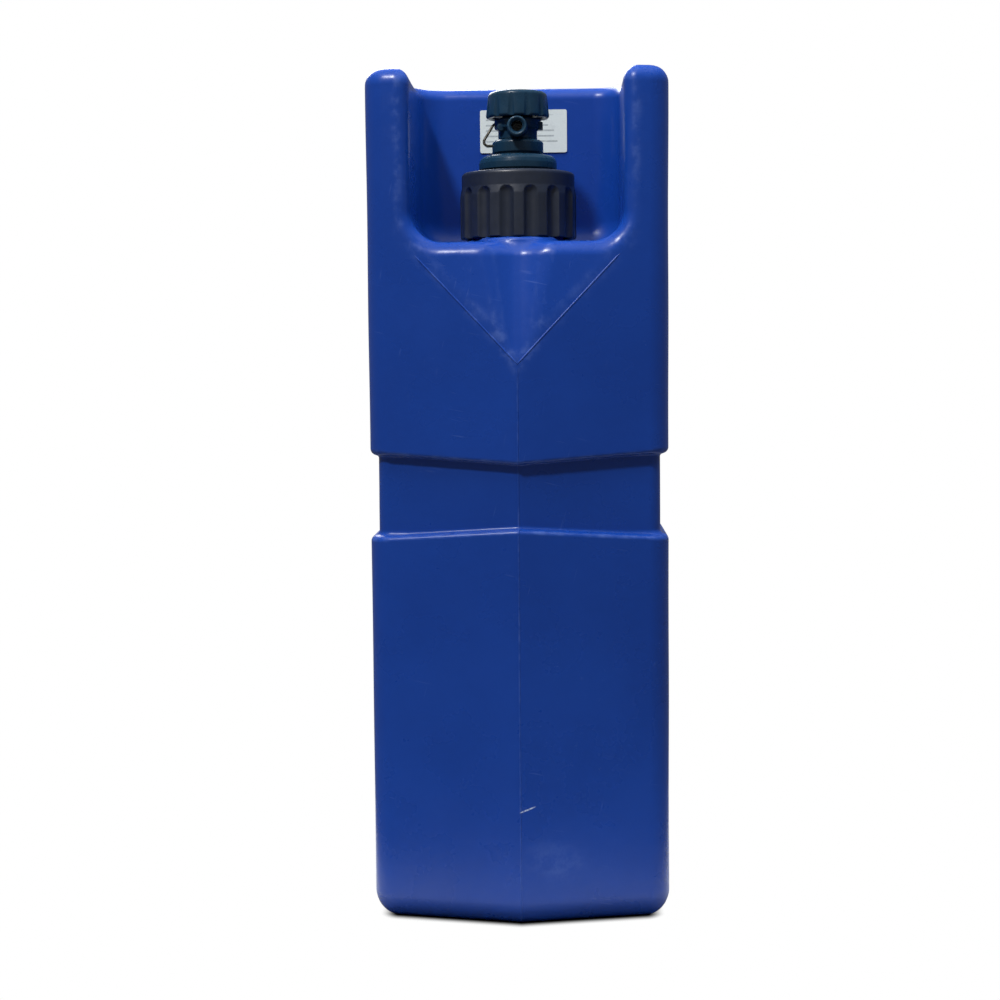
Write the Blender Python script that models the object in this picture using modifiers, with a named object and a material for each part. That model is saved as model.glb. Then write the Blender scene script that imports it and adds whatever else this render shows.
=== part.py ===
"""Pressurised water-filter jerry can.

The can stands on z = 0 with its centre on the Z axis. The outlet end faces -Y and the pump end +Y.
Each neck carries a screw collar. The outlet has a quarter-turn tap above it and a filter cartridge below it.
The pump has its handle above its neck and its cylinder below it.
"""
import math

import bmesh
import bpy
from mathutils import Matrix, Vector

# Can: overall sizes
CAN_HEIGHT = 0.500
CAN_HALF_WIDTH = 0.088
SIDE_HALF_LENGTH = 0.150
PROW_DEPTH = 0.018
WALL = 0.004
CORNER_RADIUS = 0.012
PROW_RADIUS = 0.006
CORNER_STEPS = 4
PROW_STEPS = 2

# Can: rounded bottom edge and waist groove
BOTTOM_ROUND_IN = 0.014
BOTTOM_ROUND_UP = 0.018
BOTTOM_ROUND_STEPS = 4
WAIST_LOW = 0.2299
WAIST_HIGH = 0.2765
WAIST_DEPTH = 0.005
WAIST_EDGE_RADIUS = 0.003
WAIST_EDGE_STEPS = 2
WAIST_DRAFT = 0.006

# Can: end recesses, hand pocket, handle bar and pouring chute
TOP_RADIUS = 0.009
RIM_RADIUS = 0.008
RIM_STEPS = 3
RECESS_HALF_WIDTH = 0.0615
RECESS_FLOOR = 0.400
RECESS_BACK = 0.062
RECESS_CORNER = 0.017
RECESS_FLOOR_RADIUS = 0.014
POCKET_FLOOR = 0.440
POCKET_HALF_LENGTH = 0.044
BAR_HALF_WIDTH = 0.015
BAR_BOTTOM = 0.466
BAR_TOP = 0.496
BAR_RADIUS = 0.009
CHUTE_APEX = 0.333
CHUTE_HALF_WIDTH = 0.0665
VALLEY_RADIUS = 0.0246
VALLEY_DEPTH = 0.009
CAVITY_TOP = 0.494

# Necks
NECK_OFFSET = 0.110
NECK_BOSS_RADIUS = 0.034
NECK_BOSS_TOP = 0.402
NECK_RADIUS = 0.027
NECK_BORE = 0.022
NECK_TOP = 0.431

# Clearance between touching pieces, and running clearance of a round shaft
GAP = 0.0003
RUNNING_GAP = 0.00005

# Screw collars
SEAL_HEIGHT = 0.0014
FLANGE_BOTTOM = NECK_TOP + SEAL_HEIGHT + 2 * GAP
FLANGE_TOP = FLANGE_BOTTOM + 0.0036
FLANGE_RADIUS = 0.029
BOSS_RADIUS = 0.0232
SLIP_RING_HEIGHT = 0.001
SLIP_RING_BORE = 0.024
COLLAR_HOLE = 0.024
COLLAR_BORE = 0.0304
COLLAR_TOP = 0.4424
COLLAR_SHOULDER = 0.4335
COLLAR_RIM_RADIUS = 0.0333
COLLAR_SKIRT_RADIUS = 0.0346
COLLAR_EDGE = 0.0015
FLUTE_COUNT = 15
FLUTE_RADIUS = 0.0062
FLUTE_DEPTH = 0.0018
FLUTE_TOP = 0.4290
FLUTE_FIRST_ANGLE = math.radians(-10.3)

# Tap
OUTLET_BOSS_TOP = 0.4513
SOCKET_BORE = 0.008
SOCKET_FLOOR = 0.441
NIPPLE_RADIUS = 0.010
NIPPLE_BOTTOM = 0.426
WATERWAY = 0.0045
LOCK_NUT_RADIUS = 0.0152
LOCK_NUT_TOP = 0.4605
TAP_SHANK_RADIUS = 0.0077
TAP_BARREL_RADIUS = 0.0116
TAP_BARREL_BOTTOM = 0.4608
TAP_PLATE_RADIUS = 0.0139
TAP_PLATE_BOTTOM = 0.468
TAP_PLATE_TOP = 0.4745
TAP_PASSAGE = 0.0035
CHAMBER_RADIUS = 0.0062
CHAMBER_BOTTOM = 0.459
CHAMBER_TOP = 0.4715
BONNET_RADIUS = 0.0093
BONNET_TOP = 0.4756
STEM_RADIUS = 0.0026
SPOUT_HEIGHT = 0.4682
SPOUT_RADIUS = 0.0057
SPOUT_BORE = 0.0033
SPOUT_BOSS_LENGTH = 0.0170
SPOUT_LENGTH = 0.0220
KNOB_RADIUS = 0.01875
KNOB_BOTTOM = 0.476
KNOB_TOP = 0.4907
KNOB_EDGE = 0.0022
KNOB_FLUTES = 12
KNOB_FLUTE_RADIUS = 0.0024
KNOB_FIRST_ANGLE = math.radians(-10.5)
KNOB_WEB_BOTTOM = 0.4858
KNOB_WEB_TOP = 0.4868
STEM_HOLE_FLOOR = 0.4785
WIRE_RADIUS = 0.0006

# Filter cartridge
HEAD_RADIUS = 0.020
HEAD_TOP = 0.4325
HEAD_BOTTOM = 0.412
HEAD_SOCKET_FLOOR = 0.4237
CAGE_RADIUS = 0.0195
CAGE_BORE = 0.0177
CAGE_BOTTOM = 0.190
SLOT_WIDTH = 0.010
SLOT_HEIGHT = 0.085
SLOT_ROWS = (0.198, 0.294)
SLOT_COLUMNS = 6
SLEEVE_RADIUS = 0.0174
SLEEVE_BORE = 0.0156
BUNDLE_RADIUS = 0.0152
BUNDLE_TOP = 0.396
BUNDLE_BOTTOM = 0.192
END_CAP_BOTTOM = 0.181

# Pump
PUMP_BOSS_TOP = 0.447
BUSH_RADIUS = 0.0077
BUSH_BOTTOM = 0.430
BUSH_TOP = 0.443
WIPER_TOP = 0.4465
CYLINDER_BORE = 0.016
CYLINDER_RADIUS = 0.0185
CYLINDER_TOP = 0.426
CYLINDER_BOTTOM = 0.205
PUMP_SKIRT_RADIUS = 0.0215
PUMP_SKIRT_BOTTOM = 0.415
FOOT_RADIUS = 0.0205
FOOT_SKIRT_TOP = 0.215
FOOT_SEAT = 0.198
FOOT_CHAMBER = 0.009
FOOT_LEDGE = 0.186
FOOT_BOTTOM = 0.184
FOOT_HOLE = 0.005
VALVE_DISC_RADIUS = 0.008
VALVE_DISC_BOTTOM = 0.196
SPRING_RADIUS = 0.0060
SPRING_WIRE = 0.0005
SPRING_TURNS = 3.5
ROD_RADIUS = 0.004
ROD_BOTTOM = 0.2125
ROD_TOP = 0.4695
ROD_COLLAR_RADIUS = 0.007
ROD_COLLAR_HEIGHT = 0.0037
PISTON_BOTTOM = 0.224
PISTON_TOP = 0.234
PISTON_RADIUS = 0.0155
CUP_RADIUS = 0.0158
CUP_HEIGHT = 0.0057
NUT_RADIUS = 0.007
NUT_HEIGHT = 0.0055
HUB_RADIUS = 0.008
HUB_BOTTOM = 0.453
GRIP_HEIGHT = 0.474
GRIP_RADIUS = 0.009
GRIP_HALF_LENGTH = 0.040
GRIP_END_RADIUS = 0.004
PIN_RADIUS = 0.0015
PIN_HEIGHT = 0.460

# Blank label
LABEL_LEFT = -0.0244
LABEL_RIGHT = 0.0295
LABEL_BOTTOM = 0.460
LABEL_TOP = 0.4863
LABEL_CORNER = 0.002
LABEL_THICKNESS = 0.0004

# Steps round a turned piece
STEPS_LARGE = 48
STEPS_MEDIUM = 24
STEPS_SMALL = 20

OUTLET = (0.0, -NECK_OFFSET)
PUMP = (0.0, NECK_OFFSET)

for old in list(bpy.data.objects):
    bpy.data.objects.remove(old, do_unlink=True)

parts = bpy.data.collections.new("jerry_can")
cutters = bpy.data.collections.new("cutters")
bpy.context.scene.collection.children.link(parts)
bpy.context.scene.collection.children.link(cutters)


# Materials

def plastic(name, colour, roughness):
    """A Principled material without metal."""
    return finish(name, colour, roughness, 0.0)


def finish(name, colour, roughness, metallic):
    """A Principled material."""
    made = bpy.data.materials.new(name)
    made.use_nodes = True
    shader = made.node_tree.nodes["Principled BSDF"]
    shader.inputs["Base Color"].default_value = (*colour, 1.0)
    shader.inputs["Roughness"].default_value = roughness
    shader.inputs["Metallic"].default_value = metallic
    made.diffuse_color = (*colour, 1.0)
    return made


BLUE = plastic("blue_polyethylene", (0.008, 0.042, 0.270), 0.38)
BLACK = plastic("black_collar_plastic", (0.018, 0.021, 0.030), 0.45)
TEAL = plastic("dark_teal_plastic", (0.012, 0.036, 0.060), 0.35)
PALE = plastic("label_paper", (0.70, 0.75, 0.74), 0.60)
RUBBER = plastic("black_rubber", (0.020, 0.020, 0.020), 0.80)
NYLON = plastic("white_nylon", (0.70, 0.70, 0.68), 0.45)
GREY = plastic("grey_plastic", (0.20, 0.21, 0.22), 0.45)
FOAM = plastic("filter_foam", (0.75, 0.74, 0.68), 0.95)
STEEL = finish("stainless_steel", (0.55, 0.55, 0.54), 0.30, 1.0)


# Building blocks

def add(name, mesh, material=None, at=(0.0, 0.0)):
    """Puts a mesh in the model as a piece, or as a cutter when it has no material."""
    piece = bpy.data.objects.new(name, mesh)
    piece.location = (at[0], at[1], 0.0)
    if material is None:
        cutters.objects.link(piece)
        piece.hide_render = True
        piece.display_type = "WIRE"
    else:
        parts.objects.link(piece)
        mesh.materials.append(material)
    return piece


def mesh_from(name, solid):
    """Turns a bmesh into a mesh and frees it."""
    bmesh.ops.recalc_face_normals(solid, faces=solid.faces)
    mesh = bpy.data.meshes.new(name)
    solid.to_mesh(mesh)
    solid.free()
    return mesh


def loft(name, rings, material=None, at=(0.0, 0.0)):
    """A closed solid through rings of the same number of points, from its first ring to its last."""
    solid = bmesh.new()
    loops = [[solid.verts.new(point) for point in ring] for ring in rings]
    count = len(loops[0])
    for lower, upper in zip(loops, loops[1:]):
        for index in range(count):
            following = (index + 1) % count
            solid.faces.new((lower[index], lower[following], upper[following], upper[index]))
    solid.faces.new(reversed(loops[0]))
    solid.faces.new(loops[-1])
    return add(name, mesh_from(name, solid), material, at)


def turned(name, profile, steps, material=None, at=(0.0, 0.0), ring=False):
    """A solid turned about an upright axis. Its profile of (radius, height) runs down the outside."""
    mesh = bpy.data.meshes.new(name)
    count = len(profile)
    edges = [(index, index + 1) for index in range(count - 1)]
    if ring:
        edges.append((count - 1, 0))
    mesh.from_pydata([(radius, 0.0, height) for radius, height in profile], edges, [])
    piece = add(name, mesh, material, at)
    screw = piece.modifiers.new("turn", "SCREW")
    screw.axis = "Z"
    screw.steps = steps
    screw.render_steps = steps
    screw.use_merge_vertices = True
    screw.merge_threshold = 0.00001
    screw.use_smooth_shade = True
    return piece


def tube(name, outer, inner, low, high, steps, material=None, at=(0.0, 0.0)):
    """A plain ring or pipe."""
    profile = [(inner, high), (outer, high), (outer, low), (inner, low)]
    return turned(name, profile, steps, material, at, ring=True)


def rod(name, radius, start, end, steps, material=None):
    """A plain round bar between two points."""
    start = Vector(start)
    end = Vector(end)
    along = end - start
    solid = bmesh.new()
    bmesh.ops.create_cone(solid, cap_ends=True, segments=steps, radius1=radius, radius2=radius,
                          depth=along.length)
    turn = Vector((0.0, 0.0, 1.0)).rotation_difference(along).to_matrix().to_4x4()
    bmesh.ops.transform(solid, matrix=Matrix.Translation((start + end) / 2) @ turn, verts=solid.verts)
    return add(name, mesh_from(name, solid), material)


def block(name, low, high, material=None):
    """A plain box between two corners."""
    solid = bmesh.new()
    bmesh.ops.create_cube(solid, size=1.0)
    size = Vector(high) - Vector(low)
    middle = (Vector(high) + Vector(low)) / 2
    bmesh.ops.transform(solid, matrix=Matrix.Translation(middle) @ Matrix.Diagonal((*size, 1.0)),
                        verts=solid.verts)
    return add(name, mesh_from(name, solid), material)


def gather(name, pieces):
    """Makes one cutter from several that don't touch."""
    solid = bmesh.new()
    for piece in pieces:
        solid.from_mesh(piece.data)
        bpy.data.objects.remove(piece)
    return add(name, mesh_from(name, solid))


def combine(piece, other, operation):
    """Cuts or joins another solid to a piece."""
    step = piece.modifiers.new(other.name, "BOOLEAN")
    step.operation = operation
    step.solver = "EXACT"
    step.object = other


def cut(piece, other):
    combine(piece, other, "DIFFERENCE")


def join(piece, other):
    combine(piece, other, "UNION")


def arc(centre, radius, first, last, steps):
    """Points along an arc, both ends included."""
    angles = [first + (last - first) * step / steps for step in range(steps + 1)]
    return [(centre[0] + radius * math.cos(angle), centre[1] + radius * math.sin(angle)) for angle in angles]


def rounded_polygon(corners, radii, steps):
    """A counter-clockwise outline with an arc at each corner."""
    points = []
    count = len(corners)
    for index in range(count):
        here = Vector(corners[index])
        back = (Vector(corners[index - 1]) - here).normalized()
        ahead = (Vector(corners[(index + 1) % count]) - here).normalized()
        half = back.angle(ahead) / 2
        centre = here + (back + ahead).normalized() * radii[index] / math.sin(half)
        first = math.atan2(-back.x, back.y)
        turn = math.pi - 2 * half
        points += arc(centre, radii[index], first + math.pi, first + math.pi + turn, steps[index])
    return points


def rounded_rectangle(left, right, near, far, radius, steps):
    """A counter-clockwise rectangle with rounded corners."""
    corners = [(left, near), (right, near), (right, far), (left, far)]
    return rounded_polygon(corners, [radius] * 4, [steps] * 4)


# Can

def plan(inset):
    """The can's plan outline, moved inwards."""
    slope = math.atan2(PROW_DEPTH, CAN_HALF_WIDTH)
    side = CAN_HALF_WIDTH - inset
    prow = SIDE_HALF_LENGTH + PROW_DEPTH - inset / math.cos(slope)
    end = prow - side * math.tan(slope)
    corners = [(0.0, -prow), (side, -end), (side, end), (0.0, prow), (-side, end), (-side, -end)]
    corner = max(CORNER_RADIUS - inset, 0.001)
    radii = [PROW_RADIUS, corner, corner, PROW_RADIUS, corner, corner]
    steps = [PROW_STEPS, CORNER_STEPS, CORNER_STEPS, PROW_STEPS, CORNER_STEPS, CORNER_STEPS]
    return rounded_polygon(corners, radii, steps)


def level(height, inset, draft=0.0):
    """One ring of the can. The draft lifts the ring towards each prow."""
    ring = []
    for x, y in plan(inset):
        towards_prow = min(max((abs(y) - SIDE_HALF_LENGTH) / PROW_DEPTH, 0.0), 1.0)
        ring.append((x, y, height + draft * towards_prow))
    return ring


def can_levels(wall):
    """The rings of the can from its base to its top, all moved inwards by a wall."""
    rings = []
    for step in range(BOTTOM_ROUND_STEPS + 1):
        angle = math.pi / 2 * step / BOTTOM_ROUND_STEPS
        inset = BOTTOM_ROUND_IN * (1 - math.sin(angle))
        height = (BOTTOM_ROUND_UP - wall) * (1 - math.cos(angle))
        rings.append(level(wall + height, wall + inset))
    low = WAIST_LOW - wall
    high = WAIST_HIGH + wall
    edge = WAIST_EDGE_RADIUS
    turns = [math.pi / 2 * step / WAIST_EDGE_STEPS for step in range(WAIST_EDGE_STEPS + 1)]
    for angle in turns:
        inset = wall + edge * (1 - math.cos(angle))
        rings.append(level(low - edge + edge * math.sin(angle), inset, WAIST_DRAFT))
    rings.append(level(low, wall + WAIST_DEPTH, WAIST_DRAFT))
    rings.append(level(high, wall + WAIST_DEPTH, -WAIST_DRAFT))
    for angle in reversed(turns):
        inset = wall + edge * (1 - math.cos(angle))
        rings.append(level(high + edge - edge * math.sin(angle), inset, -WAIST_DRAFT))
    if wall > 0:
        rings.append(level(CAVITY_TOP, wall))
        return rings
    for inset, drop in rim_steps(TOP_RADIUS):
        rings.append(level(CAN_HEIGHT - drop, inset))
    return rings


def rim_steps(radius):
    """The inset and the drop of each ring of a rounded top edge, from its foot to its top."""
    angles = [math.pi / 2 * step / RIM_STEPS for step in range(RIM_STEPS + 1)]
    return [(radius * (1 - math.cos(angle)), radius * (1 - math.sin(angle))) for angle in angles]


def pocket_ring(near, far, grown, height):
    """One ring of a pocket, grown sideways."""
    side = RECESS_HALF_WIDTH + grown
    outline = rounded_rectangle(-side, side, near - grown, far + grown, RECESS_CORNER + min(grown, 0.0),
                                RIM_STEPS)
    return [(x, y, height) for x, y in outline]


def pocket_cutter(name, near, far, floor, wall):
    """A pocket that opens upwards, with rounded corners, a rounded floor edge and a rounded rim."""
    rings = []
    for step in range(RIM_STEPS + 1):
        angle = math.pi / 2 * step / RIM_STEPS
        inset = RECESS_FLOOR_RADIUS * (1 - math.sin(angle))
        height = floor - wall + RECESS_FLOOR_RADIUS * (1 - math.cos(angle))
        rings.append(pocket_ring(near, far, wall - inset, height))
    if wall == 0:
        for inset, drop in rim_steps(RIM_RADIUS):
            rings.append(pocket_ring(near, far, inset, CAN_HEIGHT - drop))
    rings.append([(x, y, CAN_HEIGHT + 0.02) for x, y, _ in rings[-1]])
    return loft(name, rings)


def chute_cutter(name, side, grown):
    """A wedge that takes the prow off below a recess's lip. Its face leans back from the apex to the lip."""
    prow = SIDE_HALF_LENGTH + PROW_DEPTH - grown
    lip = SIDE_HALF_LENGTH + PROW_DEPTH * (1 - CHUTE_HALF_WIDTH / CAN_HALF_WIDTH) - grown
    beyond = SIDE_HALF_LENGTH + 2 * PROW_DEPTH
    profile = [(prow, CHUTE_APEX), (beyond, CHUTE_APEX), (beyond, RECESS_FLOOR), (lip, RECESS_FLOOR)]
    ends = []
    for x in (-CHUTE_HALF_WIDTH - 0.01, CHUTE_HALF_WIDTH + 0.01):
        ends.append([(x, side * y, z) for y, z in profile])
    return loft(name, ends)


def valley_cutter(name, side, grown):
    """A cone that hollows the middle of the chute, from near its apex to above the lip."""
    lip = SIDE_HALF_LENGTH + PROW_DEPTH * (1 - CHUTE_HALF_WIDTH / CAN_HALF_WIDTH)
    centre = lip + VALLEY_RADIUS - VALLEY_DEPTH
    prow = SIDE_HALF_LENGTH + PROW_DEPTH
    start = Vector((0.0, side * prow, CHUTE_APEX + 0.004))
    at_lip = Vector((0.0, side * centre, RECESS_FLOOR))
    end = start + (at_lip - start) * 1.15
    along = end - start
    solid = bmesh.new()
    bmesh.ops.create_cone(solid, cap_ends=True, segments=24, radius1=0.001 + grown,
                          radius2=VALLEY_RADIUS * 1.15 + grown, depth=along.length)
    turn = Vector((0.0, 0.0, 1.0)).rotation_difference(along).to_matrix().to_4x4()
    bmesh.ops.transform(solid, matrix=Matrix.Translation((start + end) / 2) @ turn, verts=solid.verts)
    return add(name, mesh_from(name, solid))


def end_cutters(label, grown):
    """The cutters of both recesses, both chutes and the hand pocket, each grown by a wall."""
    outside = SIDE_HALF_LENGTH + 0.06
    made = [
        pocket_cutter(label + "_front_recess", -outside, -RECESS_BACK, RECESS_FLOOR, grown),
        pocket_cutter(label + "_rear_recess", RECESS_BACK, outside, RECESS_FLOOR, grown),
        pocket_cutter(label + "_hand_pocket", -POCKET_HALF_LENGTH, POCKET_HALF_LENGTH, POCKET_FLOOR, grown),
    ]
    for side, end in ((-1, "front"), (1, "rear")):
        made.append(chute_cutter(label + "_" + end + "_chute", side, grown))
        made.append(valley_cutter(label + "_" + end + "_valley", side, grown))
    return made


def handle_bar():
    """The bar across the hand pocket, with its ends inside the bulkheads."""
    reach = POCKET_HALF_LENGTH + 0.006
    outline = rounded_rectangle(-BAR_HALF_WIDTH, BAR_HALF_WIDTH, BAR_BOTTOM, BAR_TOP, BAR_RADIUS, RIM_STEPS)
    rings = [[(x, y, z) for x, z in outline] for y in (-reach, reach)]
    return loft("handle_bar", rings)


def can_cavity():
    """The space inside the can's wall."""
    cavity = loft("cavity", can_levels(WALL))
    for cutter in end_cutters("inner", WALL):
        cut(cavity, cutter)
    return cavity


def can_body():
    body = loft("can_body", can_levels(0.0), BLUE)
    for cutter in end_cutters("outer", 0.0):
        cut(body, cutter)
    join(body, handle_bar())
    for (x, y), end in ((OUTLET, "outlet"), (PUMP, "pump")):
        foot = (x, y, RECESS_FLOOR - WALL / 2)
        join(body, rod(end + "_boss", NECK_BOSS_RADIUS, foot, (x, y, NECK_BOSS_TOP), STEPS_LARGE))
        join(body, rod(end + "_neck", NECK_RADIUS, foot, (x, y, NECK_TOP), STEPS_LARGE))
    cut(body, can_cavity())
    for (x, y), end in ((OUTLET, "outlet"), (PUMP, "pump")):
        below = (x, y, RECESS_FLOOR - 3 * WALL)
        above = (x, y, NECK_TOP + WALL)
        cut(body, rod(end + "_bore", NECK_BORE, below, above, STEPS_LARGE))


def blank_label():
    near = -RECESS_BACK - GAP - LABEL_THICKNESS
    far = -RECESS_BACK - GAP
    outline = rounded_rectangle(LABEL_LEFT, LABEL_RIGHT, LABEL_BOTTOM, LABEL_TOP, LABEL_CORNER, 3)
    loft("blank_label", [[(x, y, z) for x, z in outline] for y in (near, far)], PALE)


# Screw collars

def collar(name, at):
    """A ribbed screw collar with a hole in its top."""
    plate = FLANGE_TOP + SLIP_RING_HEIGHT + 2 * GAP
    low = NECK_BOSS_TOP + GAP
    profile = [(COLLAR_HOLE, COLLAR_TOP), (COLLAR_RIM_RADIUS - COLLAR_EDGE, COLLAR_TOP),
               (COLLAR_RIM_RADIUS, COLLAR_TOP - COLLAR_EDGE), (COLLAR_RIM_RADIUS, COLLAR_SHOULDER),
               (COLLAR_SKIRT_RADIUS, COLLAR_SHOULDER - 0.001), (COLLAR_SKIRT_RADIUS, low),
               (COLLAR_BORE, low), (COLLAR_BORE, plate), (COLLAR_HOLE, plate)]
    piece = turned(name, profile, STEPS_LARGE, BLACK, at, ring=True)
    flutes = []
    reach = COLLAR_SKIRT_RADIUS + FLUTE_RADIUS - FLUTE_DEPTH
    for index in range(FLUTE_COUNT):
        angle = FLUTE_FIRST_ANGLE - math.pi / 2 + math.tau * index / FLUTE_COUNT
        x = at[0] + reach * math.cos(angle)
        y = at[1] + reach * math.sin(angle)
        flutes.append(rod("flute", FLUTE_RADIUS, (x, y, low - 0.002), (x, y, FLUTE_TOP), 10))
    cut(piece, gather(name + "_flutes", flutes))


def neck_set(end, at):
    """The seal on a neck's top and the slip ring under its collar."""
    tube(end + "_neck_seal", NECK_RADIUS, NECK_BORE + GAP, NECK_TOP + GAP, NECK_TOP + GAP + SEAL_HEIGHT,
         STEPS_MEDIUM, RUBBER, at)
    tube(end + "_slip_ring", FLANGE_RADIUS, SLIP_RING_BORE, FLANGE_TOP + GAP,
         FLANGE_TOP + GAP + SLIP_RING_HEIGHT, STEPS_MEDIUM, NYLON, at)
    collar(end + "_collar", at)


# Tap

def outlet_base():
    profile = [(SOCKET_BORE, OUTLET_BOSS_TOP), (BOSS_RADIUS - 0.0012, OUTLET_BOSS_TOP),
               (BOSS_RADIUS, OUTLET_BOSS_TOP - 0.0012), (BOSS_RADIUS, FLANGE_TOP),
               (FLANGE_RADIUS, FLANGE_TOP), (FLANGE_RADIUS, FLANGE_BOTTOM),
               (NIPPLE_RADIUS, FLANGE_BOTTOM), (NIPPLE_RADIUS, NIPPLE_BOTTOM),
               (WATERWAY, NIPPLE_BOTTOM), (WATERWAY, SOCKET_FLOOR), (SOCKET_BORE, SOCKET_FLOOR)]
    turned("outlet_base", profile, STEPS_MEDIUM, TEAL, OUTLET, ring=True)


def tap_lock_nut():
    low = OUTLET_BOSS_TOP + GAP
    profile = [(SOCKET_BORE, LOCK_NUT_TOP), (LOCK_NUT_RADIUS - 0.0012, LOCK_NUT_TOP),
               (LOCK_NUT_RADIUS, LOCK_NUT_TOP - 0.0012), (LOCK_NUT_RADIUS, low), (SOCKET_BORE, low)]
    turned("tap_lock_nut", profile, STEPS_MEDIUM, TEAL, OUTLET, ring=True)


def tap_body():
    """The tap's casting: shank, barrel, plate and spout boss, with the plug's chamber inside."""
    seat = SOCKET_FLOOR + GAP
    bonnet_bore = BONNET_RADIUS + GAP
    profile = [(bonnet_bore, TAP_PLATE_TOP), (TAP_PLATE_RADIUS - 0.0006, TAP_PLATE_TOP),
               (TAP_PLATE_RADIUS, TAP_PLATE_TOP - 0.0006), (TAP_PLATE_RADIUS, TAP_PLATE_BOTTOM),
               (TAP_BARREL_RADIUS, TAP_PLATE_BOTTOM), (TAP_BARREL_RADIUS, TAP_BARREL_BOTTOM),
               (TAP_SHANK_RADIUS, TAP_BARREL_BOTTOM), (TAP_SHANK_RADIUS, seat), (TAP_PASSAGE, seat),
               (TAP_PASSAGE, CHAMBER_BOTTOM), (CHAMBER_RADIUS, CHAMBER_BOTTOM),
               (CHAMBER_RADIUS, CHAMBER_TOP), (bonnet_bore, CHAMBER_TOP)]
    piece = turned("tap_body", profile, STEPS_MEDIUM, TEAL, OUTLET, ring=True)
    # Half a step round, so that none of its edges lies in the spout's own upright plane
    piece.rotation_euler.z = math.pi / STEPS_MEDIUM
    y = OUTLET[1]
    boss_start = (0.0, y - TAP_BARREL_RADIUS + 0.001, SPOUT_HEIGHT)
    boss_end = (0.0, y - SPOUT_BOSS_LENGTH, SPOUT_HEIGHT)
    join(piece, rod("spout_boss", SPOUT_RADIUS, boss_start, boss_end, STEPS_SMALL))
    bore_start = (0.0, y - CHAMBER_RADIUS / 2, SPOUT_HEIGHT)
    bore_end = (0.0, y - SPOUT_LENGTH, SPOUT_HEIGHT)
    cut(piece, rod("spout_passage", SPOUT_BORE, bore_start, bore_end, 12))


def spout_nozzle():
    start = (0.0, OUTLET[1] - SPOUT_BOSS_LENGTH - GAP, SPOUT_HEIGHT)
    end = (0.0, OUTLET[1] - SPOUT_LENGTH, SPOUT_HEIGHT)
    beyond = (0.0, OUTLET[1] - SPOUT_LENGTH - 0.002, SPOUT_HEIGHT)
    before = (0.0, OUTLET[1] - SPOUT_BOSS_LENGTH + 0.002, SPOUT_HEIGHT)
    piece = rod("spout_nozzle", SPOUT_RADIUS, start, end, STEPS_SMALL, TEAL)
    cut(piece, rod("nozzle_bore", SPOUT_BORE, before, beyond, 12))


def tap_bonnet():
    low = CHAMBER_TOP + GAP
    ledge = low + 0.0016
    seal_bore = 0.0047
    stem_bore = STEM_RADIUS + 2 * RUNNING_GAP
    profile = [(seal_bore, BONNET_TOP), (BONNET_RADIUS, BONNET_TOP), (BONNET_RADIUS, low), (stem_bore, low),
               (stem_bore, ledge), (seal_bore, ledge)]
    turned("tap_bonnet", profile, STEPS_SMALL, TEAL, OUTLET, ring=True)
    section = arc((STEM_RADIUS + 0.00105, BONNET_TOP - 0.0011), 0.0008, math.pi, -math.pi, 8)[:-1]
    turned("stem_o_ring", section, STEPS_SMALL, RUBBER, OUTLET, ring=True)


def valve_plug():
    """The tap's plug, with a way in at its foot and a way out at its side."""
    low = CHAMBER_BOTTOM + GAP
    high = CHAMBER_TOP - GAP
    radius = CHAMBER_RADIUS - GAP
    piece = turned("valve_plug", [(0.0, high), (radius, high), (radius, low), (0.0, low)], STEPS_SMALL, NYLON,
                   OUTLET)
    y = OUTLET[1]
    side = rod("plug_side_way", 0.0025, (0.0, y, SPOUT_HEIGHT), (0.0, y - 0.01, SPOUT_HEIGHT), 12)
    foot = rod("plug_foot_way", 0.0025, (0.0, y, low - 0.002), (0.0, y, SPOUT_HEIGHT + 0.001), 12)
    cut(piece, side)
    cut(piece, foot)


def valve_stem():
    high = KNOB_WEB_BOTTOM - GAP
    hole = 0.0013
    profile = [(hole, high), (STEM_RADIUS, high), (STEM_RADIUS, CHAMBER_TOP), (0.0, CHAMBER_TOP),
               (0.0, STEM_HOLE_FLOOR), (hole, STEM_HOLE_FLOOR)]
    turned("valve_stem", profile, STEPS_SMALL, STEEL, OUTLET, ring=True)
    head = KNOB_WEB_TOP + GAP
    foot = STEM_HOLE_FLOOR + GAP
    screw = [(0.0, head + 0.0021), (0.0024, head + 0.0021), (0.0032, head + 0.0013), (0.0032, head),
             (0.0010, head), (0.0010, foot), (0.0, foot)]
    turned("knob_screw", screw, STEPS_SMALL, STEEL, OUTLET)


def tap_knob():
    stem_bore = STEM_RADIUS + GAP
    profile = [(0.004, KNOB_TOP), (KNOB_RADIUS - KNOB_EDGE, KNOB_TOP), (KNOB_RADIUS, KNOB_TOP - KNOB_EDGE),
               (KNOB_RADIUS, KNOB_BOTTOM + 0.001), (KNOB_RADIUS - 0.001, KNOB_BOTTOM),
               (stem_bore, KNOB_BOTTOM), (stem_bore, KNOB_WEB_BOTTOM), (0.0013, KNOB_WEB_BOTTOM),
               (0.0013, KNOB_WEB_TOP),
               (0.004, KNOB_WEB_TOP)]
    piece = turned("tap_knob", profile, 36, TEAL, OUTLET, ring=True)
    flutes = []
    reach = KNOB_RADIUS + 0.0012
    for index in range(KNOB_FLUTES):
        angle = KNOB_FIRST_ANGLE - math.pi / 2 + math.tau * index / KNOB_FLUTES
        x = OUTLET[0] + reach * math.cos(angle)
        y = OUTLET[1] + reach * math.sin(angle)
        low = (x, y, KNOB_BOTTOM - 0.002)
        flutes.append(rod("flute", KNOB_FLUTE_RADIUS, low, (x, y, KNOB_TOP + 0.002), 10))
    cut(piece, gather("knob_flutes", flutes))


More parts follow.
